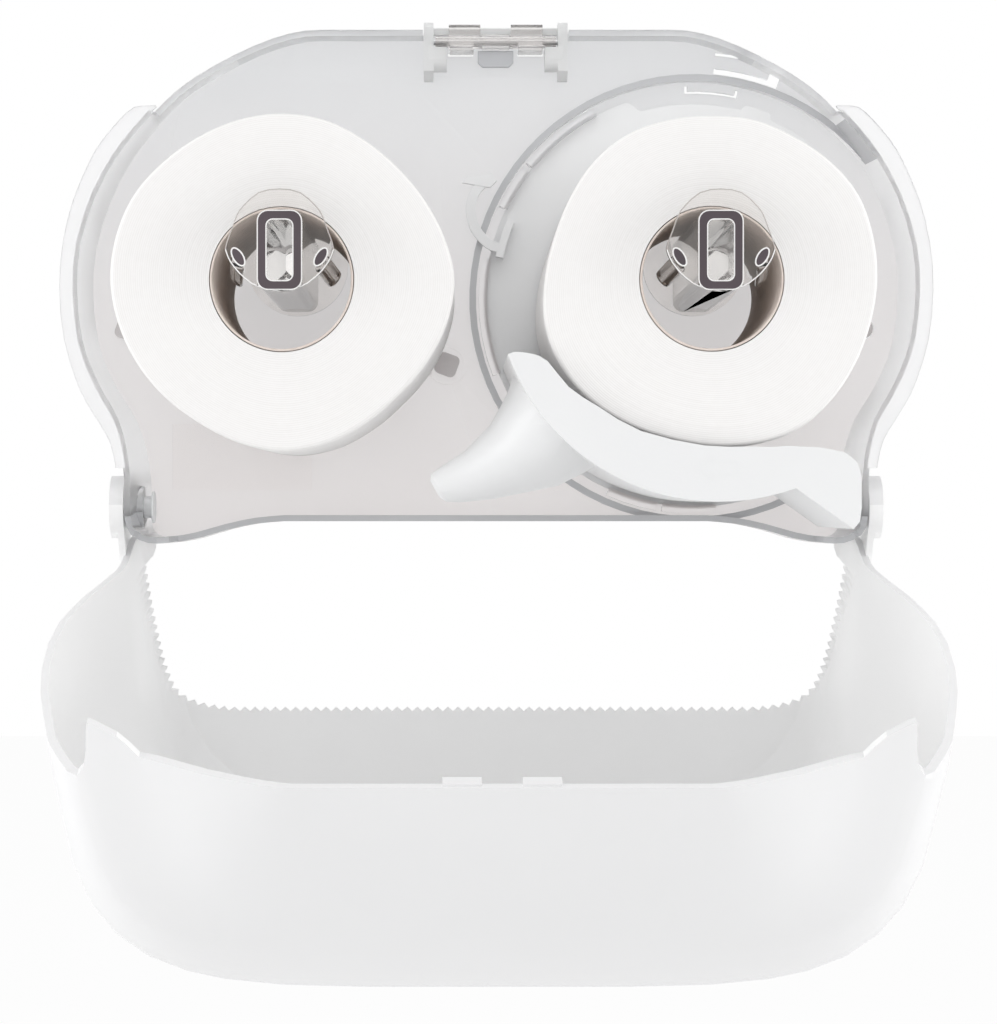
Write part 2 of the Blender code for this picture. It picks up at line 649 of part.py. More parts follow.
def add_hinge_bosses(housing):
    bosses = bmesh.new()
    bores = bmesh.new()
    outer = EAR_INNER - RUNNING_GAP
    for side in (-1, 1):
        cross_bar(bosses, HINGE_BOSS_RADIUS, HINGE_FORWARD, -HINGE_DROP,
                  side * HINGE_SEAT, side * outer, 24)
        cross_bar(bores, HINGE_PIN_RADIUS + RUNNING_GAP, HINGE_FORWARD, -HINGE_DROP,
                  side * (PIN_START - CUT_OVERRUN), side * (outer + CUT_OVERRUN), 20)
    join(housing, "hinge_bosses", bosses)
    cut(housing, "hinge_bores", bores)


def screw_places():
    inner = (PLUG_INNER_REACH, PLUG_INNER_DROP)
    outer = (PLUG_OUTER_REACH, PLUG_OUTER_DROP)
    return [(side * reach, -drop) for side in (-1, 1) for reach, drop in (inner, outer)]


def cut_plate(housing):
    """Bosses, holes, slots, the recess behind the left roll and the latch window."""
    root = PLATE_THICKNESS / 2
    bosses = bmesh.new()
    x, z = screw_places()[0]
    round_bar(bosses, SCREW_BOSS_RADIUS, x, z, root, PLATE_THICKNESS + SCREW_BOSS_HEIGHT, 24)
    join(housing, "screw_bosses", bosses)
    wells = bmesh.new()
    round_bar(wells, SCREW_BOSS_RADIUS - SCREW_BOSS_WALL, x, z, PLATE_THICKNESS,
              PLATE_THICKNESS + SCREW_BOSS_HEIGHT + CUT_OVERRUN, 24)
    cut(housing, "screw_wells", wells)

    recess = bmesh.new()
    outline = [(-x * BODY_HALF_WIDTH, z * BODY_TOP) for x, z in reversed(RECESS_OUTLINE_SHARES)]
    rings = []
    for way in (-1, 1):
        forward = PLATE_THICKNESS + way * RECESS_DEPTH
        rings.append([(x, -forward, z) for x, z in inset(outline, -2 * way * RECESS_DEPTH)])
    cut(housing, "roll_recess", loft(recess, rings))

    through = PLATE_THICKNESS + CUT_OVERRUN
    holes = bmesh.new()
    for x, z in screw_places():
        round_bar(holes, SCREW_HOLE_RADIUS, x, z, -CUT_OVERRUN, through, 16)
    for side in (-1, 1):
        round_bar(holes, SPIGOT_RADIUS + RUNNING_GAP, side * SPINDLE_REACH, 0,
                  -CUT_OVERRUN, through, 16)
    cut(housing, "plate_holes", holes)
    slots = bmesh.new()
    for inner, outer, first, last in SLOT_ARC_SHARES[:2]:
        arc_band(slots, inner * RING_RADIUS, outer * RING_RADIUS, first, last,
                 -CUT_OVERRUN, through, 4)
    cut(housing, "long_slots", slots)
    for i, (inner, outer, first, last) in enumerate(SLOT_ARC_SHARES[2:]):
        slot = bmesh.new()
        arc_band(slot, inner * RING_RADIUS, outer * RING_RADIUS, first, last,
                 -CUT_OVERRUN, through, 4)
        cut(housing, f"short_slot_{i + 1}", slot)
    window = bmesh.new()
    near = RELEASE_TAB_HALF_WIDTH + LEVER_ARM_THICKNESS
    for left, right in ((-LEVER_HALF_WIDTH, -near), (near, LEVER_HALF_WIDTH)):
        box(window, left, right, -CUT_OVERRUN, through,
            RELEASE_TAB_BOTTOM + LUG_WIDTH, RELEASE_TAB_TOP)
    cut(housing, "latch_windows", window)


def make_hinge_pin(name, side, materials):
    bm = bmesh.new()
    end = EAR_INNER + EAR_THICKNESS - RUNNING_GAP
    cross_bar(bm, HINGE_PIN_RADIUS, HINGE_FORWARD, -HINGE_DROP, side * PIN_START, side * end, 20)
    pin = add_object(name, bm, materials["grey_plastic"])
    head = bmesh.new()
    seat = HINGE_SEAT - HOUSING_WALL - 2 * RUNNING_GAP
    cross_bar(head, HINGE_PIN_HEAD_RADIUS, HINGE_FORWARD, -HINGE_DROP,
              side * PIN_START, side * seat, 20)
    join(pin, name + "_head", head)


def cover_ring(height_share, width_share, wall):
    """One level section of the shut cover: x, forward of the hinge line, and height above it."""
    radius = COVER_RADIUS - wall
    height = height_share * radius
    half_width = width_share * FLANGE_HALF_WIDTH - wall
    round_share = math.sqrt(1 - height_share**2)
    depth = radius * COVER_UNDERSIDE_SHARES.get(height_share, round_share)
    quarter = []
    for share in SIDE_POINT_SHARES:
        x = (1 - share**FRONT_ROUNDNESS) ** (1 / SIDE_ROUNDNESS)
        quarter.append((x * half_width, share * depth))
    for share in FRONT_POINT_SHARES:
        forward = (1 - share**SIDE_ROUNDNESS) ** (1 / FRONT_ROUNDNESS)
        quarter.append((share * half_width, forward * depth))
    relieved = []
    for x, forward in quarter:
        run = min(max((forward - COVER_SIDE_EDGE) / COVER_SIDE_RELIEF_RUN, 0), 1)
        relieved.append((x * (1 - COVER_SIDE_RELIEF_SHARE * run), forward))
    behind = COVER_SIDE_EDGE + wall
    half = [(half_width, -behind)] + relieved
    outline = half + [(-x, forward) for x, forward in reversed(half[:-1])]
    # Below the sides the section falls away towards the front.
    fade = min(max(1 - height / (0.12 * COVER_RADIUS), 0), 1)
    points = []
    for x, forward in outline:
        fall = COVER_BOTTOM_FALL_SHARE * (0.86 * COVER_RADIUS - forward) * fade
        points.append((x, -forward, height + fall))
    return points


def cover_solid(wall):
    bm = bmesh.new()
    return loft(bm, [cover_ring(z, x, wall) for z, x in COVER_SECTION_SHARES])


def back_cutter(bm):
    edge = [(x * FLANGE_HALF_WIDTH, z * COVER_SIDE_EDGE) for x, z in CORNER_EDGE_SHARES]
    far = -COVER_RADIUS
    half = edge + [(edge[-1][0], far)]
    outline = half + [(-x, forward) for x, forward in reversed(half)]
    return upright(bm, outline, -COVER_RADIUS, COVER_RADIUS + CUT_OVERRUN)


def opening_cutter(bm):
    """The opening below, with a tooth at every pitch along its sides and front."""
    lobe = [(x * OPENING_HALF_WIDTH, z * OPENING_REACH) for x, z in OPENING_LOBE_SHARES]
    path = smooth_through(
        [(x * OPENING_HALF_WIDTH, z * OPENING_REACH) for x, z in OPENING_TOOTH_SHARES], 12
    )
    lengths = [0.0]
    for start, end in zip(path, path[1:]):
        lengths.append(lengths[-1] + (end - start).length)
    count = max(3, round(lengths[-1] / TOOTH_PITCH))
    edge = []
    for tooth in range(count):
        for part, height in ((0.0, TOOTH_HEIGHT), (0.5, 0.0)):
            along = (tooth + part) / count * lengths[-1]
            i = max(n for n, length in enumerate(lengths[:-1]) if length <= along)
            start = path[i]
            direction = (path[i + 1] - start).normalized()
            outwards = Vector((direction.y, -direction.x))
            edge.append(start + direction * (along - lengths[i]) + outwards * height)
    half = lobe + [(p.x, p.y) for p in edge] + [(0, OPENING_REACH + TOOTH_HEIGHT)]
    outline = half + [(-x, forward) for x, forward in reversed(half[:-1])]
    deep = COVER_RADIUS * 0.3
    return upright(bm, outline, -deep, deep)


def make_cover(materials, hinge):
    cover = add_object("cover", cover_solid(0), materials["white_plastic"], hinge)
    cut(cover, "cover_hollow", cover_solid(COVER_WALL))
    cut(cover, "cover_back_edge", back_cutter(bmesh.new()))
    low_back = bmesh.new()
    wide = FLANGE_HALF_WIDTH * 1.2
    outline = [(-wide, -COVER_RADIUS), (wide, -COVER_RADIUS),
               (wide, COVER_SIDE_EDGE), (-wide, COVER_SIDE_EDGE)]
    upright(low_back, outline, -COVER_RADIUS, COVER_RADIUS * 0.7)
    cut(cover, "cover_low_back", low_back)
    cut(cover, "cover_opening", opening_cutter(bmesh.new()))

    ears = bmesh.new()
    necks = bmesh.new()
    bores = bmesh.new()
    catches = bmesh.new()
    neck = [(COVER_SIDE_EDGE + COVER_WALL, -NECK_HALF_HEIGHT),
            (COVER_SIDE_EDGE + COVER_WALL, NECK_HALF_HEIGHT),
            (0, EAR_RADIUS * 0.96), (-EAR_RADIUS / 2, 0), (0, -EAR_RADIUS * 0.96)]
    for side in (-1, 1):
        outer = EAR_INNER + EAR_THICKNESS
        cross_bar(ears, EAR_RADIUS, 0, 0, side * EAR_INNER, side * outer, 32)
        sideways(necks, neck, side * (EAR_INNER + COVER_WALL * 0.02),
                 side * (EAR_INNER + NECK_THICKNESS))
        cross_bar(bores, HINGE_PIN_RADIUS + RUNNING_GAP, 0, 0,
                  side * (EAR_INNER - CUT_OVERRUN), side * (outer + CUT_OVERRUN), 20)
        ends = sorted((side * CATCH_NEAR, side * CATCH_FAR))
        box(catches, *ends, CATCH_FORWARD, CATCH_FORWARD + CATCH_THICKNESS,
            COVER_RADIUS - COVER_WALL - CATCH_HEIGHT, COVER_RADIUS - COVER_WALL / 2)
    join(cover, "cover_necks", necks)
    join(cover, "cover_ears", ears)
    join(cover, "cover_catches", catches)
    cut(cover, "cover_bores", bores)


def make_roll(name, core_name, shares, spin, materials):
    """Paper wound on a card core, out of round as a soft roll is."""
    corners = []
    for i, share in enumerate(shares):
        angle = math.tau * i / len(shares)
        radius = share * ROLL_RADIUS
        corners.append((radius * math.cos(angle), radius * math.sin(angle)))
    closed = smooth_through(corners[-1:] + corners + corners[:2], 3)
    outer = [(point.x, point.y) for point in closed[3:-4]]
    paper = plate(bmesh.new(), outer, ROLL_FORWARD, ROLL_FRONT)
    roll = add_object(name, paper, materials["paper"], spin)
    bore = bmesh.new()
    round_bar(bore, CORE_RADIUS + RUNNING_GAP, 0, 0,
              ROLL_FORWARD - CUT_OVERRUN, ROLL_FRONT + CUT_OVERRUN, 48)
    cut(roll, name + "_bore", bore)
    tube = bmesh.new()
    round_bar(tube, CORE_RADIUS, 0, 0, ROLL_FORWARD, ROLL_FRONT, 48)
    core = add_object(core_name, tube, materials["card"], spin)
    hollow = bmesh.new()
    round_bar(hollow, CORE_BORE_RADIUS, 0, 0,
              ROLL_FORWARD - CUT_OVERRUN, ROLL_FRONT + CUT_OVERRUN, 48)
    cut(core, core_name + "_bore", hollow)


def mirrored_curve(shares, centre_x):
    """The smooth curve through these shares of the lip and, round its middle, their mirror."""
    half = [(x * SPINDLE_LIP_HALF_WIDTH, z * SPINDLE_LIP_TOP) for x, z in shares]
    whole = half + [(-x, z) for x, z in reversed(half[:-1])]
    return [(centre_x + point.x, point.y) for point in smooth_through(whole, 2)]


def lip_outline(centre_x):
    """The shield shape of the spindle's front lip: a dome above, drawn in below."""
    dome = mirrored_curve(LIP_DOME_SHARES, centre_x)
    chin = mirrored_curve(LIP_CHIN_SHARES, centre_x)
    return dome + chin[-2:0:-1]


def tube_outline(centre_x, half_width, top, bottom, corner):
    """A tube's outline: straight sides and rounded corners."""
    outline = []
    for way, height, first in ((1, top - corner, 0), (-1, top - corner, 90),
                               (-1, corner - bottom, 180), (1, corner - bottom, 270)):
        middle = centre_x + way * (half_width - corner)
        outline += arc_points(middle, height, corner, first, first + 90, 5)
    return outline


def add_leg(bm, centre_x, way):
    """An oval leg from the lip's middle, that slants back, out and down to its rounded end."""
    tilt = math.radians(90 - way * (90 - LEG_TILT))
    rings = []
    for share, grown in LEG_END_SHARES:
        reach = LEG_FRONT_REACH + share * (LEG_BACK_REACH - LEG_FRONT_REACH)
        drop = LEG_FRONT_DROP + share * (LEG_BACK_DROP - LEG_FRONT_DROP)
        forward = SPINDLE_LENGTH + SPINDLE_LIP_THICKNESS / 2 - share * LEG_LENGTH
        ring = []
        for i in range(14):
            angle = math.tau * i / 14
            along = grown * LEG_HALF_WIDTH * math.cos(angle)
            across = grown * LEG_HALF_THICKNESS * math.sin(angle)
            ring.append((
                centre_x + way * reach + along * math.cos(tilt) - across * math.sin(tilt),
                -forward,
                along * math.sin(tilt) + across * math.cos(tilt) - drop,
            ))
        rings.append(ring)
    return loft(bm, rings)


def make_spindle(name, side, materials):
    x = side * SPINDLE_REACH
    front = SPINDLE_LENGTH
    lip_front = front + SPINDLE_LIP_THICKNESS
    base = PLATE_THICKNESS + RUNNING_GAP
    body = bmesh.new()
    outer = tube_outline(x, TUBE_HALF_WIDTH, TUBE_TOP, TUBE_BOTTOM, TUBE_CORNER_RADIUS)
    plate(body, outer, base, lip_front)
    spindle = add_object(name, body, materials["clear_plastic"])

    foot = bmesh.new()
    round_bar(foot, SPINDLE_BASE_RADIUS, x, 0, base, base + SPINDLE_BASE_THICKNESS, 36)
    join(spindle, name + "_base", foot)
    spigot = bmesh.new()
    round_bar(spigot, SPIGOT_RADIUS, x, 0, RUNNING_GAP, base + SPINDLE_BASE_THICKNESS / 2, 16)
    join(spindle, name + "_spigot", spigot)
    lip = bmesh.new()
    plate(lip, lip_outline(x), front, front + SPINDLE_LIP_THICKNESS * 0.96)
    join(spindle, name + "_lip", lip)
    for way in (-1, 1):
        join(spindle, name + "_leg", add_leg(bmesh.new(), x, way))

    hollow = bmesh.new()
    inner = tube_outline(x, TUBE_HALF_WIDTH - TUBE_WALL, TUBE_TOP - TUBE_WALL,
                         TUBE_BOTTOM - TUBE_WALL, TUBE_BORE_CORNER_RADIUS)
    plate(hollow, inner, base + 2 * SPINDLE_BASE_THICKNESS, lip_front + CUT_OVERRUN)
    cut(spindle, name + "_hollow", hollow)


def disc_outline():
    """The shutter's disc: full width on the left, notched along the top, with a stop tab."""
    outline = ring_points(DISC_NOTCH_RADIUS, 54, 66.6, 4)
    outline += ring_points(DISC_TAB_RADIUS, 67.3, 75, 3)
    outline += ring_points(DISC_NOTCH_RADIUS, 75.8, 105.6, 8)
    outline += ring_points(DISC_RADIUS, 108.6, 285, 40)
    outline += reversed(ring_points(DISC_INNER_RADIUS, 54, 285, 40))
    return outline


def make_disc(materials, turn):
    bm = bmesh.new()
    disc = add_object("shutter_disc", plate(bm, disc_outline(), DISC_FORWARD, DISC_FRONT),
                      materials["grey_plastic"], None)
    # A hooked finger springs from the disc, over the guide ring, to the outside of it.
    low = PLATE_THICKNESS + RING_HEIGHT + 2 * RUNNING_GAP
    high = low + FINGER_THICKNESS
    riser = bmesh.new()
    arc_band(riser, DISC_RADIUS * 0.935, DISC_RADIUS * 0.972, 157, 168.2,
             DISC_FRONT - RUNNING_GAP, high, 5)
    join(disc, "finger_root", riser)
    path = [ring_point(share * DISC_RADIUS, angle) for share, angle in FINGER_PATH_SHARES]
    path = smooth_through(path, 3)
    left = []
    right = []
    for i, point in enumerate(path):
        ahead = path[min(i + 1, len(path) - 1)] - path[max(i - 1, 0)]
        aside = Vector((-ahead.y, ahead.x)).normalized() * FINGER_HALF_WIDTH
        left.append(point + aside)
        right.append(point - aside)
    finger = bmesh.new()
    plate(finger, [(p.x, p.y) for p in left + right[::-1]], low, high)
    join(disc, "finger", finger)
    head = bmesh.new()
    outline = [ring_point(share * DISC_RADIUS, angle) for share, angle in FINGER_HEAD_SHARES]
    plate(head, outline, low - RUNNING_GAP / 2, high + RUNNING_GAP)
    join(disc, "finger_head", head)
    hang_on(disc, turn)


def hang_on(obj, empty):
    """Parents an object, and the helpers of its Booleans, to an unturned empty where they are."""
    bpy.context.view_layer.update()
    helpers = [modifier.object for modifier in obj.modifiers]
    for piece in [obj] + helpers:
        piece.parent = empty
        piece.matrix_parent_inverse = empty.matrix_world.inverted()


def wedge_points():
    """The wedge from the foot of its slope round its right side to the face above it."""
    return [
        (x * WEDGE_REACH, -z * WEDGE_FOOT if z > 0 else z) for x, z in WEDGE_OUTLINE_SHARES
    ]


def trough_outline():
    """The trough's outer line, from its left end to the wedge, and back along the front's edge."""
    outer = ring_points(TROUGH_RADIUS, TROUGH_START, TROUGH_TURN, 26)
    edge = smooth_through(
        [ring_point(share * TROUGH_RADIUS, angle) for angle, share in CRESCENT_EDGE_SHARES], 2
    )
    return outer, wedge_points(), [(p.x, p.y) for p in reversed(edge)]


def make_trough(materials, turn):
    outer, wedge, edge = trough_outline()
    bm = bmesh.new()
    plate(bm, outer + wedge + edge, TROUGH_BACK, TROUGH_FRONT)
    trough = add_object("shutter_trough", bm, materials["grey_plastic"], None)

    # Everything inside the outer line is open to the roll, behind the front face.
    inner = ring_points(TROUGH_RADIUS - TROUGH_WALL, TROUGH_START - 4, TROUGH_TURN + 1, 27)
    slope = Vector(wedge[0]) - Vector(outer[-1])
    aside = Vector((-slope.y, slope.x)).normalized() * TROUGH_WALL
    corner = Vector(wedge[1]) + Vector((-TROUGH_WALL, TROUGH_WALL))
    right = WEDGE_REACH - TROUGH_WALL
    inside = inner + [
        (corner.x - aside.x / 2, corner.y + aside.y / 2),
        (right, corner.y + TROUGH_WALL),
        (right, RING_CENTRE.z),
        (RING_CENTRE.x - TROUGH_RADIUS, RING_CENTRE.z),
    ]
    hollow = bmesh.new()
    plate(hollow, inside, TROUGH_BACK - CUT_OVERRUN, LIP_BACK)
    cut(trough, "trough_hollow", hollow)
    behind = bmesh.new()
    clear_line = ring_points(RAIL_INNER - RAIL_LIP_REACH - RUNNING_GAP, 276, 330, 12)
    corner_box = [(WEDGE_REACH * 1.2, clear_line[-1][1]), (WEDGE_REACH * 1.2, -BODY_BOTTOM * 1.2),
                  (clear_line[0][0], -BODY_BOTTOM * 1.2)]
    plate(behind, clear_line + corner_box, 0, WEDGE_BACK)
    cut(trough, "wedge_back", behind)
    join(trough, "horn", horn_solid())
    hang_on(trough, turn)


def horn_solid():
    """The lever that the hand pushes: oval sections from a round tip to a broad root."""
    root_x, root_z = ring_point(TROUGH_RADIUS, HORN_ROOT_ANGLE)
    tip_x, tip_z = ring_point(HORN_TIP_REACH, HORN_TIP_ANGLE)
    half_width = TROUGH_RADIUS * math.sin(math.radians(HORN_ROOT_HALF_ANGLE))
    way = Vector((root_x - tip_x, root_z - tip_z))
    across = Vector((-way.y, way.x)).normalized()
    segments = 20
    rings = []
    for along, wide, deep in HORN_SECTION_SHARES:
        sink = across * (HORN_TIP_SINK * math.sin(math.pi * along))
        centre = Vector((tip_x, tip_z)) + way * along - sink
        ring = []
        for i in range(segments):
            angle = math.tau * i / segments
            side = across * (wide * half_width * math.cos(angle))
            forward = HORN_FORWARD + deep * HORN_ROOT_HALF_DEPTH * math.sin(angle)
            ring.append((centre.x + side.x, -forward, centre.y + side.y))
        rings.append(ring)
    root = []
    sunk = TROUGH_RADIUS - TROUGH_WALL / 2
    for i in range(segments):
        angle = math.tau * i / segments
        turn = HORN_ROOT_ANGLE - HORN_ROOT_HALF_ANGLE * math.cos(angle)
        x, z = ring_point(sunk, turn)
        root.append((x, -HORN_FORWARD - HORN_ROOT_HALF_DEPTH * math.sin(angle), z))
    rings.append(root)
    return loft(bmesh.new(), rings)


def make_bracket(materials):
    """The latch's bracket: a bar along the top with a cheek and a lug at each end."""
    back = PLATE_THICKNESS + RUNNING_GAP
    bar = bmesh.new()
    box(bar, -LATCH_HALF_WIDTH + RUNNING_GAP, LATCH_HALF_WIDTH - RUNNING_GAP, back,
        back + LATCH_BAR_THICKNESS, BODY_TOP - RUNNING_GAP, BODY_TOP + LATCH_BAR_RISE)
    bracket = add_object("latch_bracket", bar, materials["latch_plastic"])
    cheeks = bmesh.new()
    lugs = bmesh.new()
    bores = bmesh.new()
    corner = CHEEK_THICKNESS / 2
    cheek = [
        (back, CHEEK_BOTTOM), (back + CHEEK_THICKNESS, CHEEK_BOTTOM),
        (CHEEK_FORWARD, LUG_BOTTOM), (CHEEK_FORWARD, CHEEK_TOP - corner),
        (CHEEK_FORWARD - corner, CHEEK_TOP), (back, CHEEK_TOP),
    ]
    half = PIVOT_FORWARD - back
    lug = [(back, LUG_TOP)]
    lug += arc_points(PIVOT_FORWARD, LUG_BOTTOM + half, half, 180, 360, 8)
    lug += [(PIVOT_FORWARD + half, LUG_TOP)]
    for side in (-1, 1):
        inner = side * (LATCH_HALF_WIDTH - CHEEK_THICKNESS)
        sideways(cheeks, cheek, inner, side * LATCH_HALF_WIDTH)
        sideways(lugs, lug, inner - side * LUG_WIDTH, inner + side * corner)
        cross_bar(bores, PIVOT_PIN_RADIUS + RUNNING_GAP, PIVOT_FORWARD, PIVOT_HEIGHT,
                  inner - side * CUT_OVERRUN, inner + side * corner, 12)
    join(bracket, "bracket_cheeks", cheeks)
    join(bracket, "bracket_lugs", lugs)
    cut(bracket, "bracket_bores", bores)


def make_pivot_pin(materials):
    bm = bmesh.new()
    reach = LATCH_HALF_WIDTH - CHEEK_THICKNESS / 2 - RUNNING_GAP
    cross_bar(bm, PIVOT_PIN_RADIUS, PIVOT_FORWARD, PIVOT_HEIGHT, -reach, reach, 12)
    add_object("latch_pivot_pin", bm, materials["steel"])


def make_lever(materials, pivot):
    bm = bmesh.new()
    cross_bar(bm, LEVER_BARREL_RADIUS, PIVOT_FORWARD, PIVOT_HEIGHT,
              -LEVER_HALF_WIDTH, LEVER_HALF_WIDTH, 16)
    lever = add_object("latch_lever", bm, materials["clear_plastic"], None)
    stubs = bmesh.new()
    cross_bar(stubs, LEVER_STUB_RADIUS, PIVOT_FORWARD, PIVOT_HEIGHT,
              -LEVER_STUB_HALF_WIDTH, LEVER_STUB_HALF_WIDTH, 16)
    join(lever, "lever_stubs", stubs)
    hooks = bmesh.new()
    back = PIVOT_FORWARD - LEVER_BARREL_RADIUS
    front = back + 2 * LEVER_TAB_THICKNESS
    tab = [
        (back, PIVOT_HEIGHT), (back, LEVER_TAB_TOP - LEVER_TAB_THICKNESS),
        (back + LEVER_TAB_THICKNESS, LEVER_TAB_TOP), (front + LEVER_TAB_THICKNESS, LEVER_TAB_TOP),
        (front, LEVER_TAB_TOP - LEVER_TAB_THICKNESS), (front, PIVOT_HEIGHT),
    ]
    for side in (-1, 1):
        ends = sorted((side * LEVER_MIDDLE, side * (LEVER_HALF_WIDTH - RUNNING_GAP)))
        sideways(hooks, tab, *ends)
    join(lever, "hook_tabs", hooks)
    arms = bmesh.new()
    low = LEVER_ARM_TOP - LEVER_ARM_THICKNESS
    barb = LEVER_ARM_FORWARD - LEVER_ARM_THICKNESS
    arm = [
        (PIVOT_FORWARD, low), (LEVER_ARM_FORWARD, low), (LEVER_ARM_FORWARD, LEVER_ARM_TOP),
        (barb, LEVER_BARB_TOP), (barb, LEVER_ARM_TOP),
        (PIVOT_FORWARD, LEVER_ARM_TOP + LEVER_ARM_THICKNESS),
    ]
    near = RELEASE_TAB_HALF_WIDTH + LEVER_ARM_THICKNESS
    for side in (-1, 1):
        ends = sorted((side * near, side * (LEVER_HALF_WIDTH - 2 * RUNNING_GAP)))
        sideways(arms, arm, *ends)
    join(lever, "barbed_arms", arms)
    middle = bmesh.new()
    half = LEVER_MIDDLE - 2 * RUNNING_GAP
    reach = LEVER_BARREL_RADIUS - RUNNING_GAP
    box(middle, -half, half, PIVOT_FORWARD - reach, PIVOT_FORWARD + reach,
        RELEASE_TAB_TOP + 2 * RUNNING_GAP, PIVOT_HEIGHT + reach)
    join(lever, "middle_block", middle)
    bore = bmesh.new()
    end = LEVER_STUB_HALF_WIDTH + CUT_OVERRUN
    cross_bar(bore, PIVOT_PIN_RADIUS + RUNNING_GAP, PIVOT_FORWARD, PIVOT_HEIGHT, -end, end, 12)
    cut(lever, "lever_bore", bore)
    hang_on(lever, pivot)

    corner = RELEASE_TAB_HALF_WIDTH * 0.25
    half = RELEASE_TAB_HALF_WIDTH - corner
    outline = [
        (-RELEASE_TAB_HALF_WIDTH, RELEASE_TAB_TOP),
        (-RELEASE_TAB_HALF_WIDTH, RELEASE_TAB_BOTTOM + corner), (-half, RELEASE_TAB_BOTTOM),
        (half, RELEASE_TAB_BOTTOM), (RELEASE_TAB_HALF_WIDTH, RELEASE_TAB_BOTTOM + corner),
        (RELEASE_TAB_HALF_WIDTH, RELEASE_TAB_TOP),
    ]
    tab = bmesh.new()
    plate(tab, outline, RELEASE_TAB_FORWARD, RELEASE_TAB_FORWARD + RELEASE_TAB_THICKNESS)
    release = add_object("latch_release_tab", tab, materials["dark_plastic"], None)
    hang_on(release, pivot)


def make_plugs(materials):
    for i, (x, z) in enumerate(screw_places()):
        name = f"screw_hole_plug_{i + 1}"
        stem = bmesh.new()
        seat = PLATE_THICKNESS + RUNNING_GAP
        top = seat + RUNNING_GAP if x < 0 else PLATE_THICKNESS - RUNNING_GAP
        round_bar(stem, SCREW_HOLE_RADIUS - RUNNING_GAP, x, z, RUNNING_GAP, top, 16)
        plug = add_object(name, stem, materials["rubber"])
        # Behind the disc there is no room for a head, so those two plugs are flush.
        if x < 0:
            head = bmesh.new()
            outline = arc_points(x, z, PLUG_HEAD_HALF_WIDTH * math.sqrt(2), 25, 295, 3)
            plate(head, outline, seat, seat + PLUG_HEAD_THICKNESS)
            join(plug, name + "_head", head)


def make_label(materials):
    bm = bmesh.new()
    back = PLATE_THICKNESS + RUNNING_GAP
    box(bm, -LABEL_LEFT, -LABEL_RIGHT, back, back + LABEL_THICKNESS, -LABEL_BOTTOM, -LABEL_TOP)
    add_object("blank_label", bm, materials["label_film"])


def main():
    clear_scene()
    materials = make_materials()
    hinge = add_empty("cover_hinge", (0, -HINGE_FORWARD, -HINGE_DROP), COVER_OPEN_ANGLE)
    left_spin = add_empty("left_roll_axis", (-SPINDLE_REACH, 0, -ROLL_DROP))
    right_spin = add_empty("right_roll_axis",
                           (SPINDLE_REACH - RIGHT_ROLL_SWING, 0, -RIGHT_ROLL_DROP))
    turn = add_empty("shutter_axis", RING_CENTRE)
    pivot = add_empty("latch_axis", (0, -PIVOT_FORWARD, PIVOT_HEIGHT))
    make_housing(materials)
    make_hinge_pin("hinge_pin_left", -1, materials)
    make_hinge_pin("hinge_pin_right", 1, materials)
    make_cover(materials, hinge)
    make_spindle("spindle_left", -1, materials)
    make_spindle("spindle_right", 1, materials)
    make_roll("paper_roll_left", "roll_core_left", LEFT_ROLL_SHARES, left_spin, materials)
    make_roll("paper_roll_right", "roll_core_right", RIGHT_ROLL_SHARES, right_spin, materials)
    make_disc(materials, turn)
    make_trough(materials, turn)
    make_bracket(materials)
    make_pivot_pin(materials)
    make_lever(materials, pivot)
    make_plugs(materials)
    make_label(materials)


main()
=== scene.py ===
"""Wall dispenser for two toilet rolls, opened for loading: its finished pieces over the frame."""

import math

import bmesh
import bpy
from mathutils import Matrix, Vector


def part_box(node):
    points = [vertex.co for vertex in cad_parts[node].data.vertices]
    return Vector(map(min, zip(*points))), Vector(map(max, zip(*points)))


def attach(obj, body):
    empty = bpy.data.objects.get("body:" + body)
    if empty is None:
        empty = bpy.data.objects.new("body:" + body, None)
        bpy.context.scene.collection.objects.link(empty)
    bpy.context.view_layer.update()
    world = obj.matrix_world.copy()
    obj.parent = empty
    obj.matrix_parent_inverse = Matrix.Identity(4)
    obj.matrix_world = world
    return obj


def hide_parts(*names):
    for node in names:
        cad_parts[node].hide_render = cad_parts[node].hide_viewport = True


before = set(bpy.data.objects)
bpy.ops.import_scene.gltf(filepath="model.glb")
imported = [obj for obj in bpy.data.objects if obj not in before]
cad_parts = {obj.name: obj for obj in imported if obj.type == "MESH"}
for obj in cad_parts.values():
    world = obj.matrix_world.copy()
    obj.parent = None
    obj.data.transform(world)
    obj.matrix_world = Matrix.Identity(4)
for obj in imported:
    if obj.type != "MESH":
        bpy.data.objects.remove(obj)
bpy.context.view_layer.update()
scene = bpy.context.scene
scene.view_settings.view_transform = "Standard"


# The studio is a pale floor far below the wall line, three soft boxes and an even white surround.
# The camera looks straight at the wall from 1.08 m, a little left of the object's middle.

PHOTO_WIDTH = 997
PHOTO_HEIGHT = 1024
FOCAL_PIXELS = 2903
AXIS_ACROSS = 455
AXIS_DOWN = 500
camera_data = bpy.data.cameras.new("front_camera")
camera_data.sensor_width = 36
camera_data.lens = FOCAL_PIXELS * camera_data.sensor_width / PHOTO_HEIGHT
camera_data.shift_x = (PHOTO_WIDTH / 2 - AXIS_ACROSS) / PHOTO_HEIGHT
camera_data.shift_y = (AXIS_DOWN - PHOTO_HEIGHT / 2) / PHOTO_HEIGHT
camera = bpy.data.objects.new("front_camera", camera_data)
camera.location = (-0.015, -1.080, -0.0867)
camera.rotation_euler = (math.pi / 2, 0, 0)
scene.collection.objects.link(camera)
scene.camera = camera


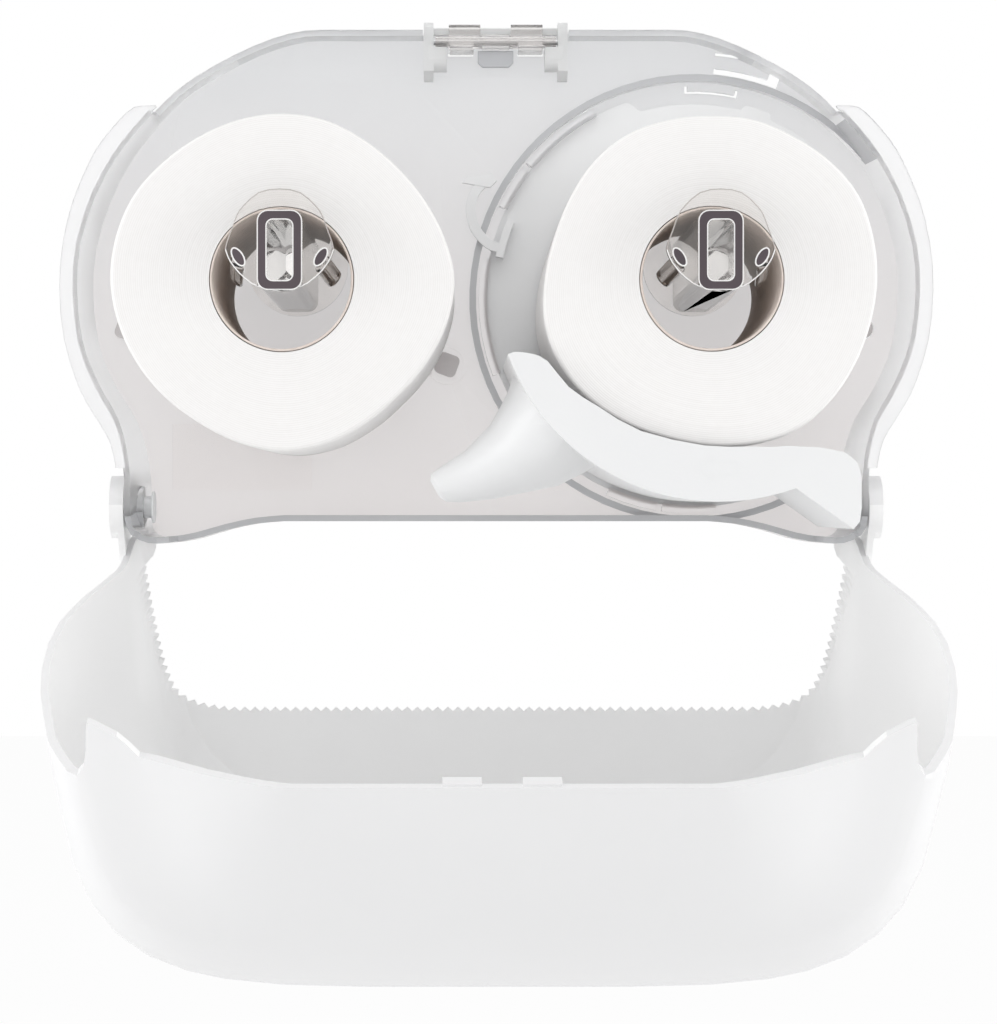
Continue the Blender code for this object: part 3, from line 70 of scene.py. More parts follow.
def new_material(name):
    """An empty material of this name: its nodes, its links and its shader."""
    material = bpy.data.materials.new(name)
    material.use_nodes = True
    nodes = material.node_tree.nodes
    return material, nodes, material.node_tree.links, nodes["Principled BSDF"]


def math_node(nodes, links, operation, *values):
    """Puts in a Math node on these values, sockets or plain numbers, and gives its result."""
    node = nodes.new("ShaderNodeMath")
    node.operation = operation
    for socket, value in zip(node.inputs, values):
        if isinstance(value, bpy.types.NodeSocket):
            links.new(value, socket)
        else:
            socket.default_value = value
    return node.outputs[0]


def shown_rays(nodes, links):
    """1 for rays that see the surround: from the camera, or off gloss or through clear plastic."""
    path = nodes.new("ShaderNodeLightPath").outputs
    seen = math_node(nodes, links, "MAXIMUM", path["Is Camera Ray"], path["Is Glossy Ray"])
    return math_node(nodes, links, "MAXIMUM", seen, path["Is Transmission Ray"])


SURROUND_LEVEL = 0.73
world = bpy.data.worlds.new("surround")
world.use_nodes = True
scene.world = world
nodes, links = world.node_tree.nodes, world.node_tree.links
level = nodes.new("ShaderNodeMapRange")
level.inputs["To Min"].default_value = SURROUND_LEVEL
level.inputs["To Max"].default_value = 1
links.new(shown_rays(nodes, links), level.inputs["Value"])
links.new(level.outputs["Result"], nodes["Background"].inputs["Strength"])
nodes["Background"].inputs["Color"].default_value = (1, 1, 1, 1)

FLOOR_HALF_WIDTH = 4
FLOOR_Z = -0.5
FLOOR_GLOW = 0.92
bm = bmesh.new()
bmesh.ops.create_grid(bm, x_segments=1, y_segments=1, size=FLOOR_HALF_WIDTH)
bmesh.ops.translate(bm, verts=bm.verts, vec=(0, 0, FLOOR_Z))
mesh = bpy.data.meshes.new("floor")
bm.to_mesh(mesh)
bm.free()
floor = bpy.data.objects.new("floor", mesh)
scene.collection.objects.link(floor)
floor_paint, nodes, links, shader = new_material("floor_paint")
shader.inputs["Base Color"].default_value = (0.9, 0.9, 0.9, 1)
shader.inputs["Roughness"].default_value = 0.8
glow = nodes.new("ShaderNodeEmission")
mix = nodes.new("ShaderNodeMixShader")
share = math_node(nodes, links, "MULTIPLY", shown_rays(nodes, links), FLOOR_GLOW)
links.new(share, mix.inputs["Fac"])
links.new(shader.outputs["BSDF"], mix.inputs[1])
links.new(glow.outputs["Emission"], mix.inputs[2])
links.new(mix.outputs["Shader"], nodes["Material Output"].inputs["Surface"])
mesh.materials.append(floor_paint)

STUDIO_MIDDLE = Vector((0, 0, -0.1))


def soft_box(name, place, size, power):
    """A square lamp of this side in metres and power in watts, turned to the studio's middle."""
    lamp = bpy.data.lights.new(name, "AREA")
    lamp.shape = "SQUARE"
    lamp.size = size
    lamp.energy = power
    obj = bpy.data.objects.new(name, lamp)
    obj.location = place
    obj.rotation_euler = (STUDIO_MIDDLE - Vector(place)).to_track_quat("-Z", "Y").to_euler()
    scene.collection.objects.link(obj)


soft_box("top_box", (0, -1.5, 1.5), 1.6, 8)
soft_box("left_box", (-2.0, -0.5, 0.1), 1.3, 15)
soft_box("right_box", (2.0, -0.5, 0.1), 1.3, 15)


# The rear housing is one shallow tray, injection moulded in smoky clear plastic a little over
# 2 mm thick. It is screwed flat to the wall and carries every other piece.

WELD_DISTANCE = 2e-6
FLAT_ANGLE = math.radians(0.5)


def joined_up(node):
    """The surface of a piece, with its loose triangles merged into flat faces."""
    bm = bmesh.new()
    bm.from_mesh(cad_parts[node].data)
    bmesh.ops.remove_doubles(bm, verts=bm.verts, dist=WELD_DISTANCE)
    bmesh.ops.dissolve_limit(bm, angle_limit=FLAT_ANGLE, verts=bm.verts, edges=bm.edges)
    return bm


def finish(bm, name, body, material, stands_for, edge=0.0, smooth_angle=35):
    """Makes the mesh a piece that stands for its nodes, with its edges eased by a small radius."""
    mesh = bpy.data.meshes.new(name)
    bm.to_mesh(mesh)
    bm.free()
    mesh.shade_smooth()
    mesh.set_sharp_from_angle(angle=math.radians(smooth_angle))
    mesh.materials.append(material)
    obj = bpy.data.objects.new(name, mesh)
    scene.collection.objects.link(obj)
    if edge:
        bevel = obj.modifiers.new("eased_edges", "BEVEL")
        bevel.width = edge
        bevel.segments = 2
        bevel.limit_method = "ANGLE"
        bevel.angle_limit = math.radians(smooth_angle)
    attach(obj, body)
    if stands_for:
        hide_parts(*stands_for)
    return obj


def texture_place(nodes, links, centre=(0, 0, 0)):
    """Object coordinates measured from a point of the piece."""
    coordinates = nodes.new("ShaderNodeTexCoord")
    mapping = nodes.new("ShaderNodeMapping")
    mapping.inputs["Location"].default_value = [-value for value in centre]
    links.new(coordinates.outputs["Object"], mapping.inputs["Vector"])
    return mapping.outputs["Vector"]


def fine_noise(nodes, links, place, scale, detail):
    """Noise between 0 and 1 at this scale, such as grain, flow marks or fibres."""
    noise = nodes.new("ShaderNodeTexNoise")
    noise.inputs["Scale"].default_value = scale
    noise.inputs["Detail"].default_value = detail
    links.new(place, noise.inputs["Vector"])
    return noise.outputs["Fac"]


BUMP_HEIGHT = 0.0002


def moulded_skin_group():
    """The skin that a steel mould leaves on plastic: faint flow marks and a very fine grain."""
    group = bpy.data.node_groups.new("moulded_skin", "ShaderNodeTree")
    group.interface.new_socket("Vector", in_out="INPUT", socket_type="NodeSocketVector")
    for socket in ("Gloss", "Spread", "Depth"):
        group.interface.new_socket(socket, in_out="INPUT", socket_type="NodeSocketFloat")
    group.interface.new_socket("Roughness", in_out="OUTPUT", socket_type="NodeSocketFloat")
    group.interface.new_socket("Flow", in_out="OUTPUT", socket_type="NodeSocketFloat")
    group.interface.new_socket("Normal", in_out="OUTPUT", socket_type="NodeSocketVector")
    nodes, links = group.nodes, group.links
    given = nodes.new("NodeGroupInput").outputs
    result = nodes.new("NodeGroupOutput")
    flow = fine_noise(nodes, links, given["Vector"], scale=14, detail=3)
    grain = fine_noise(nodes, links, given["Vector"], scale=900, detail=2)
    spread = math_node(nodes, links, "MULTIPLY", flow, given["Spread"])
    bump = nodes.new("ShaderNodeBump")
    bump.inputs["Distance"].default_value = BUMP_HEIGHT
    links.new(given["Depth"], bump.inputs["Strength"])
    links.new(grain, bump.inputs["Height"])
    links.new(math_node(nodes, links, "ADD", spread, given["Gloss"]), result.inputs["Roughness"])
    links.new(flow, result.inputs["Flow"])
    links.new(bump.outputs["Normal"], result.inputs["Normal"])
    return group


moulded_skin = moulded_skin_group()


def add_skin(nodes, links, shader, gloss, spread=0.06, depth=0.1):
    """Puts the moulded skin on a shader, and gives the skin's flow marks back."""
    skin = nodes.new("ShaderNodeGroup")
    skin.node_tree = moulded_skin
    skin.inputs["Gloss"].default_value = gloss
    skin.inputs["Spread"].default_value = spread
    skin.inputs["Depth"].default_value = depth
    links.new(texture_place(nodes, links), skin.inputs["Vector"])
    links.new(skin.outputs["Roughness"], shader.inputs["Roughness"])
    links.new(skin.outputs["Normal"], shader.inputs["Normal"])
    return skin.outputs["Flow"]


def colour_along(nodes, links, value, stops):
    """A colour that follows a value through these stops."""
    ramp = nodes.new("ShaderNodeValToRGB")
    ramp.color_ramp.elements[0].position = stops[0][0]
    ramp.color_ramp.elements[0].color = (*stops[0][1], 1)
    ramp.color_ramp.elements[1].position = stops[-1][0]
    ramp.color_ramp.elements[1].color = (*stops[-1][1], 1)
    for place, colour in stops[1:-1]:
        ramp.color_ramp.elements.new(place).color = (*colour, 1)
    links.new(value, ramp.inputs["Fac"])
    return ramp.outputs["Color"]


def moulded_plastic(name, dark, light, **skin):
    """A plastic under the moulded skin, whose colour drifts a little with the flow marks."""
    material, nodes, links, shader = new_material(name)
    flow = add_skin(nodes, links, shader, **skin)
    tint = colour_along(nodes, links, flow, [(0.3, dark), (0.7, light)])
    links.new(tint, shader.inputs["Base Color"])
    return material


def let_light_through(material, share, ior=1.5):
    """Makes a material see-through by this share."""
    shader = material.node_tree.nodes["Principled BSDF"]
    shader.inputs["Transmission Weight"].default_value = share
    shader.inputs["IOR"].default_value = ior


TINT_BOTTOM = -0.1
TINT_TOP = 0.09
smoky_plastic, nodes, links, shader = new_material("smoky_plastic")
add_skin(nodes, links, shader, gloss=0.32, spread=0.08)
split = nodes.new("ShaderNodeSeparateXYZ")
links.new(texture_place(nodes, links), split.inputs["Vector"])
height = nodes.new("ShaderNodeMapRange")
height.inputs["From Min"].default_value = TINT_BOTTOM
height.inputs["From Max"].default_value = TINT_TOP
links.new(split.outputs["Z"], height.inputs["Value"])
tint = colour_along(nodes, links, height.outputs["Result"],
                    [(0.0, (0.875, 0.845, 0.84)), (0.45, (0.85, 0.83, 0.83)),
                     (0.9, (0.83, 0.835, 0.845))])
links.new(tint, shader.inputs["Base Color"])
let_light_through(smoky_plastic, 0.85, ior=1.45)

# The side wings get a paler copy of the smoky plastic: painted light for the light that falls on
# them from the sides.
painted_light_wing_plastic = moulded_plastic("painted_light_wing_plastic", (0.975, 0.975, 0.98), (0.985, 0.985, 0.99),
                                  gloss=0.3, spread=0.1)
let_light_through(painted_light_wing_plastic, 0.88, ior=1.45)

# Faces of the guide ring and the bottom wall that are seen end-on get a dark grey: painted shade for
# how dark clear plastic looks along its wall.
end_on_painted_shade = moulded_plastic("end_on_painted_shade", (0.50, 0.505, 0.52), (0.54, 0.545, 0.56),
                                 gloss=0.3, spread=0.1)
let_light_through(end_on_painted_shade, 0.1)

RING_CENTRE = Vector((0.0732, -0.0123))
RING_RADIUS = 0.0829
RING_WALL = 0.0024
RING_PLAY = 0.0003
PLATE_THICKNESS = 0.0025
CLEAR_OF_PLATE = 0.001
BOTTOM_WALL_TOP = -0.0905
PAINTED_LIGHT_WING_REACH = 0.095
PAINTED_LIGHT_WING, END_ON_PAINTED_SHADE = 1, 2
housing = finish(joined_up("rear_housing"), "housing_tray", "housing",
                 smoky_plastic, ["rear_housing"], edge=0.0003)
housing.data.materials.append(painted_light_wing_plastic)
housing.data.materials.append(end_on_painted_shade)
plate_front = -PLATE_THICKNESS - CLEAR_OF_PLATE
for face in housing.data.polygons:
    corners = [housing.data.vertices[index].co for index in face.vertices]
    from_ring = [(Vector((co.x, co.z)) - RING_CENTRE).length for co in corners]
    beyond_inside = min(from_ring) > RING_RADIUS - RING_WALL - RING_PLAY
    on_ring = beyond_inside and max(from_ring) < RING_RADIUS + RING_PLAY
    on_bottom_wall = max(co.z for co in corners) < BOTTOM_WALL_TOP
    # Faces seen end-on on the guide ring and the bottom wall get painted shade.
    if max(co.y for co in corners) < plate_front and (on_ring or on_bottom_wall):
        face.material_index = END_ON_PAINTED_SHADE
    # Faces out on the side wings get painted light.
    elif face.center.y < plate_front and abs(face.center.x) > PAINTED_LIGHT_WING_REACH:
        face.material_index = PAINTED_LIGHT_WING


# Two short moulded pins, one each side, go through the housing's side walls and the cover's
# ears. They are pushed in from inside, up to their flat heads.

grey_plastic = moulded_plastic("grey_plastic", (0.80, 0.81, 0.82), (0.83, 0.84, 0.85), gloss=0.32)
for side in ("left", "right"):
    finish(joined_up(f"hinge_pin_{side}"), f"hinge_pin_turned_{side}", "housing",
           grey_plastic, [f"hinge_pin_{side}"], edge=0.0003)


# Each spindle is one clear moulding: a tall tube with rounded corners on a round foot, two
# slanted legs that steady the card core, and a thin shield-shaped lip that the roll slips over.
# The tube's end and the legs' ends are painted dark, as painted shade for how dark clear plastic
# looks when the eye looks down the length of the wall, and have painted highlight lines round them.


def even_plastic(name, colour, **skin):
    """A plastic of one colour under the moulded skin."""
    material, nodes, links, shader = new_material(name)
    add_skin(nodes, links, shader, **skin)
    shader.inputs["Base Color"].default_value = (*colour, 1)
    return material


clear_plastic = even_plastic("clear_plastic", (0.97, 0.955, 0.94), gloss=0.02, spread=0.03,
                             depth=0.003)
let_light_through(clear_plastic, 1, ior=1.49)
nodes, links = clear_plastic.node_tree.nodes, clear_plastic.node_tree.links
absorption = nodes.new("ShaderNodeVolumeAbsorption")
absorption.inputs["Color"].default_value = (0.62, 0.56, 0.52, 1)
absorption.inputs["Density"].default_value = 9
links.new(absorption.outputs["Volume"], nodes["Material Output"].inputs["Volume"])

# The tube's end and the legs' ends are painted dark as painted shade.
tube_end_painted_shade = moulded_plastic("tube_end_painted_shade", (0.058, 0.044, 0.052), (0.098, 0.074, 0.086),
                                   gloss=0.1, spread=0.1, depth=0.02)
# Lit and shaded copies of one pale plastic: painted highlight and painted shade on the spindle's
# edges.
painted_highlight_edge = moulded_plastic("painted_highlight_edge", (0.84, 0.83, 0.82), (0.90, 0.89, 0.88), gloss=0.3)
painted_shade_edge = moulded_plastic("painted_shade_edge", (0.42, 0.39, 0.37), (0.52, 0.48, 0.46), gloss=0.3)

SQUARE_ON = 0.9
SIDE_ON = 0.3
TUBE_END_PLAY = 0.00003
TUBE_END_LINE = 0.0004
LIP_FACE_BACK = 0.00011
LIP_FACE_PLAY = 0.00006
LIP_LEAST_DEPTH = 0.001
LIP_EDGE_RADIUS = 0.0004
LIP_FOLD_DROP = 0.0035
TUBE_END_PAINTED_SHADE, PAINTED_HIGHLIGHT, PAINTED_SHADE = 1, 2, 3


def edged_spindle(side):
    """The spindle with its lip's front edge eased, painted shade above its fold and painted
    highlight below, and a painted highlight line round the tube's end.
    """
    bm = joined_up(f"spindle_{side}")
    square_on = [face for face in bm.faces if abs(face.normal.y) > SQUARE_ON]
    bmesh.ops.triangulate(bm, faces=square_on)
    front = min(vert.co.y for vert in bm.verts)
    tube_end = [face for face in bm.faces if face.normal.y < -SQUARE_ON
                and max(vert.co.y for vert in face.verts) < front + TUBE_END_PLAY]
    # The tube's end is painted dark as painted shade.
    for face in tube_end:
        face.material_index = TUBE_END_PAINTED_SHADE
    band = bmesh.ops.inset_region(bm, faces=tube_end, thickness=TUBE_END_LINE,
                                  use_even_offset=True)
    # The band round the tube's end is a painted highlight line.
    for face in band["faces"]:
        face.material_index = PAINTED_HIGHLIGHT
    lip_face_y = front + LIP_FACE_BACK
    outline = []
    for edge in bm.edges:
        flat = [face for face in edge.link_faces if face.normal.y < -SQUARE_ON]
        steep = [face for face in edge.link_faces if abs(face.normal.y) < SIDE_ON]
        if flat and steep and abs(edge.verts[0].co.y - lip_face_y) < LIP_FACE_PLAY:
            if max(vert.co.y for vert in steep[0].verts) > lip_face_y + LIP_LEAST_DEPTH:
                outline.append(edge)
    eased = bmesh.ops.bevel(bm, geom=outline, affect="EDGES", offset=LIP_EDGE_RADIUS, segments=2,
                            profile=0.5, material=-1)
    # The eased lip edge is painted shade above the fold and painted highlight below it.
    for face in eased["faces"]:
        above_fold = face.calc_center_median().z > -LIP_FOLD_DROP
        face.material_index = PAINTED_SHADE if above_fold else PAINTED_HIGHLIGHT
    return bm


LEG_END_REACH = 0.0137
LEG_END_DROP = 0.0061
LEG_END_HALF_LENGTH = 0.0036
LEG_END_HALF_WIDTH = 0.0019
LEG_END_TILT = 58
LEG_END_RIM = 0.0005
LEG_END_THICKNESS = 0.00006
LEG_END_GAP = 0.00004
LEG_END_PAINTED_HIGHLIGHT = 1


def painted_shade_leg_end(x, y, tilt):
    """Painted shade for the end of a leg, seen through the lip: a dark oval sheet with a painted
    highlight rim round it.
    """
    bm = bmesh.new()
    bmesh.ops.create_circle(bm, segments=40, radius=1, cap_ends=True)
    bmesh.ops.scale(bm, verts=bm.verts, vec=(LEG_END_HALF_LENGTH, LEG_END_HALF_WIDTH, 1))
    bm.normal_update()
    # The rim round the dark sheet is a painted highlight.
    rim = bmesh.ops.inset_individual(bm, faces=bm.faces[:], thickness=LEG_END_RIM)
    for face in rim["faces"]:
        face.material_index = LEG_END_PAINTED_HIGHLIGHT
    bmesh.ops.rotate(bm, verts=bm.verts, matrix=Matrix.Rotation(math.pi / 2, 3, "X"))
    bmesh.ops.rotate(bm, verts=bm.verts, matrix=Matrix.Rotation(math.radians(tilt), 3, "Y"))
    bmesh.ops.translate(bm, verts=bm.verts, vec=(x, y, -LEG_END_DROP))
    bmesh.ops.solidify(bm, geom=bm.faces[:], thickness=LEG_END_THICKNESS)
    bmesh.ops.recalc_face_normals(bm, faces=bm.faces)
    return bm


for side in ("left", "right"):
    spindle = finish(edged_spindle(side), f"spindle_moulding_{side}", "housing",
                     clear_plastic, [f"spindle_{side}"], smooth_angle=20)
    spindle.modifiers.new("even_shading", "WEIGHTED_NORMAL").keep_sharp = True
    for material in (tube_end_painted_shade, painted_highlight_edge, painted_shade_edge):
        spindle.data.materials.append(material)
    low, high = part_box(f"spindle_{side}")
    middle = (low[0] + high[0]) / 2
    for number, toward in ((1, -1), (2, 1)):
        end = painted_shade_leg_end(middle + toward * LEG_END_REACH, low[1] - LEG_END_GAP, -toward * LEG_END_TILT)
        end = finish(end, f"painted_shade_leg_end_{side}_{number}", "housing",
                     tube_end_painted_shade, [])
        end.data.materials.append(painted_highlight_edge)


# The latch stands on the housing's top edge: a milky bracket of two cheeks, a steel pin across
# it, a clear lever with two hooked tabs, and a dark release tab pressed into the lever.

milky_plastic = even_plastic("milky_plastic", (0.90, 0.905, 0.905), gloss=0.3)
let_light_through(milky_plastic, 0.35, ior=1.45)
finish(joined_up("latch_bracket"), "latch_cheeks", "housing", milky_plastic,
       ["latch_bracket"], edge=0.0004)

bright_wire, nodes, links, shader = new_material("bright_wire")
add_skin(nodes, links, shader, gloss=0.25)
shader.inputs["Base Color"].default_value = (0.62, 0.62, 0.63, 1)
shader.inputs["Metallic"].default_value = 1
finish(joined_up("latch_pivot_pin"), "latch_wire", "housing", bright_wire,
       ["latch_pivot_pin"], edge=0.0002)

lever_plastic = even_plastic("lever_plastic", (0.93, 0.91, 0.90), gloss=0.05, spread=0.05,
                             depth=0.02)
let_light_through(lever_plastic, 0.9, ior=1.49)
finish(joined_up("latch_lever"), "latch_hooks", "latch", lever_plastic,
       ["latch_lever"], edge=0.0002)

dark_plastic = moulded_plastic("dark_plastic", (0.50, 0.51, 0.53), (0.54, 0.55, 0.57), gloss=0.4)
finish(joined_up("latch_release_tab"), "latch_tab", "latch", dark_plastic,
       ["latch_release_tab"], edge=0.0003)


# Soft dark plugs close the four screw holes, and a blank film label sits low on the left.
# The plugs' heads are square with rounded corners, and the label is a thin clear sheet.

STRAIGHT_BACK = 0.99
PLUG_CORNER_REACH = 0.005
PLUG_CORNER_RADIUS = 0.002
rubber = moulded_plastic("plug_rubber", (0.52, 0.49, 0.49), (0.68, 0.65, 0.65), gloss=0.6, depth=0.4)
for number in range(1, 5):
    bm = joined_up(f"screw_hole_plug_{number}")
    low, high = (Vector(corner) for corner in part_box(f"screw_hole_plug_{number}"))
    middle = (low + high) / 2
    corners = []
    for edge in bm.edges:
        first, second = (vert.co for vert in edge.verts)
        reach = math.hypot(first.x - middle.x, first.z - middle.z)
        if abs((second - first).normalized().y) > STRAIGHT_BACK and reach > PLUG_CORNER_REACH:
            corners.append(edge)
    bmesh.ops.bevel(bm, geom=corners, affect="EDGES", offset=PLUG_CORNER_RADIUS, segments=4,
                    profile=0.5, material=-1)
    finish(bm, f"plug_{number}", "housing", rubber, [f"screw_hole_plug_{number}"],
           edge=0.0004)

label_film = even_plastic("label_film", (0.995, 0.988, 0.985), gloss=0.15)
let_light_through(label_film, 1, ior=1.12)
finish(joined_up("blank_label"), "label_panel", "housing", label_film,
       ["blank_label"])


# The shutter is two pale grey mouldings that turn about the right roll: a flat disc that runs in
# the housing's guide ring, and a trough that goes under the roll, with a horn on the left to push
# it round. The raised outline of an arrow on the trough's front shows which way it turns.

trough_plastic = moulded_plastic("trough_plastic", (0.84, 0.845, 0.85), (0.86, 0.865, 0.87),
                                 gloss=0.35)
finish(joined_up("shutter_disc"), "shutter_plate", "shutter", trough_plastic,
       ["shutter_disc"], edge=0.0003)
finish(joined_up("shutter_trough"), "shutter_pan", "shutter", trough_plastic,
       ["shutter_trough"], edge=0.0005)

ARROW_X = 0.0725
ARROW_Z = -0.076
ARROW_HALF_LENGTH = 0.007
HEAD_LENGTH = 0.0058
HEAD_HALF_HEIGHT = 0.0042
SHAFT_HALF_HEIGHT = 0.0023
ARROW_LINE = 0.0004
ARROW_RISE = 0.0002
arrow_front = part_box("shutter_trough")[0][1] - ARROW_RISE / 2
arrow_tip = ARROW_X - ARROW_HALF_LENGTH
arrow_neck = arrow_tip + HEAD_LENGTH
arrow_end = ARROW_X + ARROW_HALF_LENGTH
arrow_outline = [
    (arrow_tip, 0), (arrow_neck, -HEAD_HALF_HEIGHT), (arrow_neck, -SHAFT_HALF_HEIGHT),
    (arrow_end, -SHAFT_HALF_HEIGHT), (arrow_end, SHAFT_HALF_HEIGHT),
    (arrow_neck, SHAFT_HALF_HEIGHT), (arrow_neck, HEAD_HALF_HEIGHT),
]
bm = bmesh.new()
bm.faces.new([bm.verts.new((x, arrow_front, ARROW_Z + rise)) for x, rise in arrow_outline])
bm.normal_update()
inside = bm.faces[:]
bmesh.ops.inset_region(bm, faces=inside, thickness=ARROW_LINE, use_boundary=True,
                       use_even_offset=True)
bmesh.ops.delete(bm, geom=inside, context="FACES")
bmesh.ops.solidify(bm, geom=bm.faces[:], thickness=ARROW_RISE)
bmesh.ops.recalc_face_normals(bm, faces=bm.faces)
finish(bm, "raised_arrow", "shutter", trough_plastic, [])


# Each roll is white tissue wound on a brown card core. A soft roll flattens where it was
# squeezed in its pack, so its radius is given all the way round as shares of the nominal one.

ROLL_RADIUS = 0.058
ROLL_BACK = 0.007
ROLL_FRONT = 0.106
CORE_RADIUS = 0.0241
CORE_BORE_RADIUS = 0.0233
CORE_EDGE = 0.0002
CORE_STEPS = 96
LEFT_ROLL_CENTRE = (-0.0732, 0, -0.0127)
RIGHT_ROLL_CENTRE = (0.0712, 0, -0.01254)
LEFT_ROLL_SHARES = (
    1.0, 0.972, 0.945, 0.933, 0.94, 0.958, 0.963, 0.96, 0.958, 0.967, 0.987, 0.993,
    0.993, 0.981, 0.969, 0.96, 0.958, 0.977, 0.995, 0.984, 0.961, 0.95, 0.966, 0.988,
)
RIGHT_ROLL_SHARES = (
    0.96, 0.969, 0.981, 0.968, 0.953, 0.955, 0.947, 0.956, 0.97, 0.963, 0.946, 0.943,
    0.966, 0.998, 1.01, 0.998, 0.975, 0.96, 0.97, 0.99, 1.003, 0.985, 0.966, 0.956,
)


def share_at(shares, angle):
    """The roll's radius share at an angle, on a smooth curve through the given ones."""
    place = angle / math.tau % 1 * len(shares)
    first = int(place)
    t = place - first
    before, start, end, after = (shares[(first + step) % len(shares)] for step in (-1, 0, 1, 2))
    return 0.5 * (
        2 * start
        + (end - before) * t
        + (2 * before - 5 * start + 4 * end - after) * t**2
        + (3 * start - before - 3 * end + after) * t**3
    )


def spun(profile, steps):
    """The closed profile of radius and forward distance, spun once round the roll's axis."""
    bm = bmesh.new()
    corners = [bm.verts.new((radius, -forward, 0)) for radius, forward in profile]
    edges = [bm.edges.new(pair) for pair in zip(corners, corners[1:] + corners[:1])]
    bmesh.ops.spin(bm, geom=corners + edges, cent=(0, 0, 0), axis=(0, 1, 0), angle=math.tau,
                   steps=steps, use_merge=True)
    bmesh.ops.recalc_face_normals(bm, faces=bm.faces)
    return bm


PAPER_BORE_RADIUS = CORE_RADIUS + 0.0003
RIM_RADIUS = 0.0016
FACE_RIPPLE = 0.00002
SIDE_DIP = 0.0002
COARSE_RIPPLE = 2900
FINE_RIPPLE = 6700
FACE_STEPS = 44
RIM_STEPS = 6
SIDE_STEPS = 12
PAPER_STEPS = 168


def winding_profile():
    """Half a section of the paper: its wavy front face, soft rims, side, back and bore."""
    profile = []
    face_width = ROLL_RADIUS - RIM_RADIUS - PAPER_BORE_RADIUS
    for i in range(FACE_STEPS + 1):
        radius = PAPER_BORE_RADIUS + face_width * i / FACE_STEPS
        wave = math.sin(radius * COARSE_RIPPLE) + 0.6 * math.sin(radius * FINE_RIPPLE + 1) - 1.6
        profile.append((radius, ROLL_FRONT + FACE_RIPPLE * wave))
    for i in range(1, RIM_STEPS + 1):
        angle = math.pi / 2 * i / RIM_STEPS
        profile.append((ROLL_RADIUS - RIM_RADIUS + RIM_RADIUS * math.sin(angle),
                        ROLL_FRONT - RIM_RADIUS + RIM_RADIUS * math.cos(angle)))
    for i in range(1, SIDE_STEPS):
        share = i / SIDE_STEPS
        dip = SIDE_DIP * math.sin(share * 9) ** 2
        profile.append((ROLL_RADIUS - dip, ROLL_FRONT - RIM_RADIUS
                        + (ROLL_BACK + 2 * RIM_RADIUS - ROLL_FRONT) * share))
    for i in range(RIM_STEPS + 1):
        angle = math.pi / 2 * i / RIM_STEPS
        profile.append((ROLL_RADIUS - RIM_RADIUS + RIM_RADIUS * math.cos(angle),
                        ROLL_BACK + RIM_RADIUS - RIM_RADIUS * math.sin(angle)))
    profile.append((PAPER_BORE_RADIUS, ROLL_BACK))
    return profile


def wound_paper(centre, shares):
    """The paper, out of round, with each point's place in the winding kept as an attribute."""
    bm = spun(winding_profile(), PAPER_STEPS)
    winding = bm.verts.layers.float.new("winding")
    for vert in bm.verts:
        radius = math.hypot(vert.co.x, vert.co.z)
        angle = math.atan2(vert.co.z, vert.co.x)
        vert[winding] = radius
        out = (radius - CORE_RADIUS) / (ROLL_RADIUS - CORE_RADIUS)
        grown = radius * (1 + out * (share_at(shares, angle) - 1))
        vert.co.x *= grown / radius
        vert.co.z *= grown / radius
    bmesh.ops.translate(bm, verts=bm.verts, vec=centre)
    return bm


def raise_surface(nodes, links, shader, height, strength):
    """Lets the surface rise and fall with a value."""
    bump = nodes.new("ShaderNodeBump")
    bump.inputs["Strength"].default_value = strength
    bump.inputs["Distance"].default_value = BUMP_HEIGHT
    links.new(height, bump.inputs["Height"])
    links.new(bump.outputs["Normal"], shader.inputs["Normal"])


def tissue_material(name, centre):
    """White tissue: the wound layers' edges show as fine rings, with loose fibres over them."""
    material, nodes, links, shader = new_material(name)
    winding = nodes.new("ShaderNodeAttribute")
    winding.attribute_name = "winding"
    rings = nodes.new("ShaderNodeCombineXYZ")
    links.new(winding.outputs["Fac"], rings.inputs["X"])
    layer = nodes.new("ShaderNodeTexWave")
    layer.wave_type = "BANDS"
    layer.bands_direction = "X"
    layer.inputs["Scale"].default_value = 420
    layer.inputs["Distortion"].default_value = 3
    layer.inputs["Detail"].default_value = 3
    layer.inputs["Detail Scale"].default_value = 2
    links.new(rings.outputs["Vector"], layer.inputs["Vector"])
    fibres = fine_noise(nodes, links, texture_place(nodes, links, centre), scale=420, detail=5)
    height = nodes.new("ShaderNodeMix")
    height.inputs["Factor"].default_value = 0.45
    links.new(layer.outputs["Fac"], height.inputs["A"])
    links.new(fibres, height.inputs["B"])
    raise_surface(nodes, links, shader, height.outputs["Result"], 0.15)
    tint = colour_along(nodes, links, height.outputs["Result"],
                        [(0.2, (0.875, 0.862, 0.852)), (0.6, (0.925, 0.915, 0.908))])
    links.new(tint, shader.inputs["Base Color"])
    shader.inputs["Roughness"].default_value = 0.95
    shader.inputs["Specular IOR Level"].default_value = 0.2
    return material


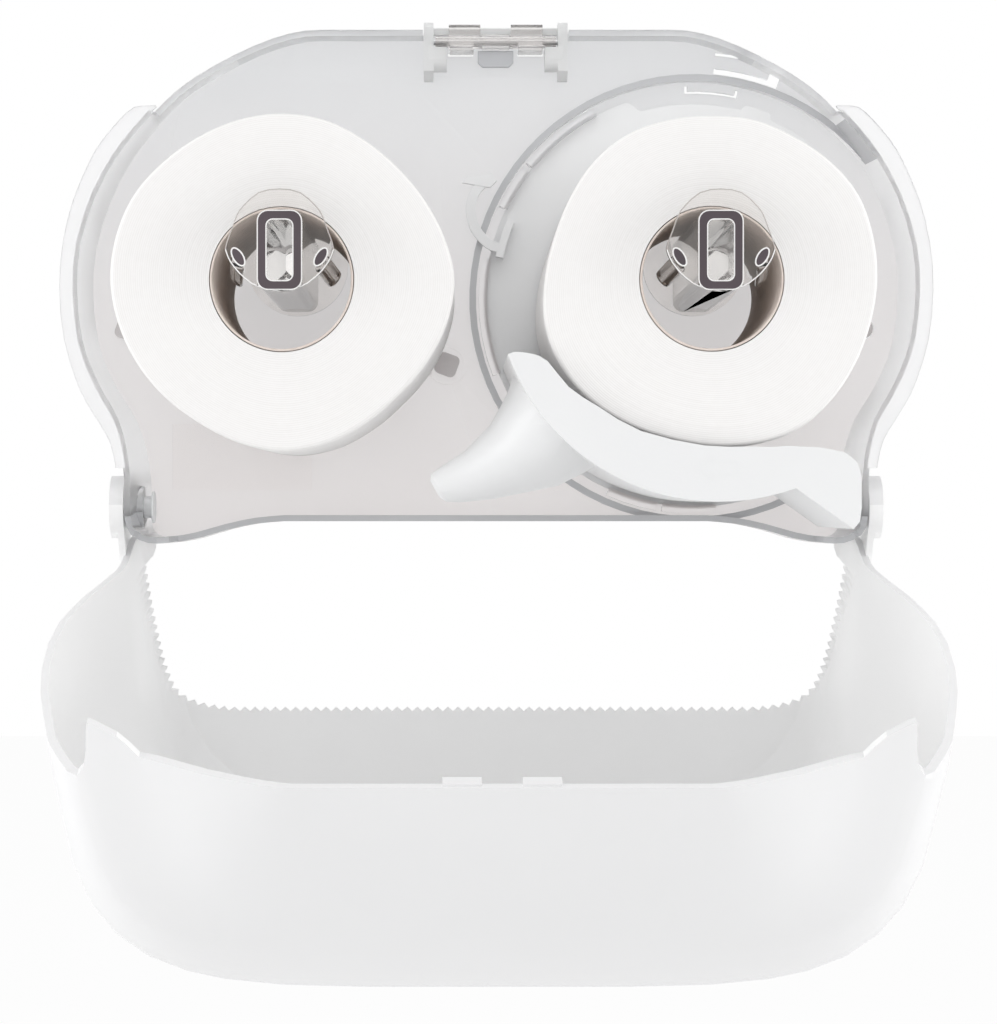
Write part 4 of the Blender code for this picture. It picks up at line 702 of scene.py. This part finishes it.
def card_material(name, centre):
    """Brown card with short fibres in it."""
    material, nodes, links, shader = new_material(name)
    fibres = fine_noise(nodes, links, texture_place(nodes, links, centre), scale=260, detail=6)
    raise_surface(nodes, links, shader, fibres, 0.3)
    tint = colour_along(nodes, links, fibres,
                        [(0.3, (0.74, 0.65, 0.59)), (0.7, (0.83, 0.74, 0.68))])
    links.new(tint, shader.inputs["Base Color"])
    shader.inputs["Roughness"].default_value = 0.85
    return material


CORE_PROFILE = (
    (CORE_BORE_RADIUS, ROLL_BACK), (CORE_BORE_RADIUS, ROLL_FRONT - CORE_EDGE),
    (CORE_BORE_RADIUS + CORE_EDGE, ROLL_FRONT), (CORE_RADIUS - CORE_EDGE, ROLL_FRONT),
    (CORE_RADIUS, ROLL_FRONT - CORE_EDGE), (CORE_RADIUS, ROLL_BACK),
)
for side, centre, shares in (("left", LEFT_ROLL_CENTRE, LEFT_ROLL_SHARES),
                             ("right", RIGHT_ROLL_CENTRE, RIGHT_ROLL_SHARES)):
    finish(wound_paper(centre, shares), f"tissue_roll_{side}", f"{side}_roll",
           tissue_material(f"tissue_{side}", centre), [f"paper_roll_{side}"], smooth_angle=60)
    tube = spun(CORE_PROFILE, CORE_STEPS)
    bmesh.ops.translate(tube, verts=tube.verts, vec=centre)
    finish(tube, f"card_core_{side}", f"{side}_roll",
           card_material(f"card_{side}", centre), [f"roll_core_{side}"], smooth_angle=50)


# The cover is one deep shell, moulded in white plastic, that drops down on its hinge pins. The
# paper comes out through the opening in its underside, which has a toothed edge to tear on. The
# faces that look into the shell are painted paler than the outside: painted light for the light
# that comes through the wall.

white_plastic = moulded_plastic("white_plastic", (0.85, 0.85, 0.855), (0.862, 0.862, 0.867),
                                gloss=0.28, spread=0.08, depth=0.05)
inside_painted_light_plastic = moulded_plastic("inside_painted_light_plastic", (0.97, 0.97, 0.97), (0.98, 0.98, 0.98),
                                      gloss=0.28, spread=0.08, depth=0.05)

COVER_MIDDLE = Vector((0, -0.035, -0.2))
INSIDE_PAINTED_LIGHT = 1
shell = finish(joined_up("cover"), "cover_shell", "cover", white_plastic,
               ["cover"])
shell.data.materials.append(inside_painted_light_plastic)
# Faces that look into the shell get painted light.
for face in shell.data.polygons:
    if (COVER_MIDDLE - face.center).dot(face.normal) > 0:
        face.material_index = INSIDE_PAINTED_LIGHT
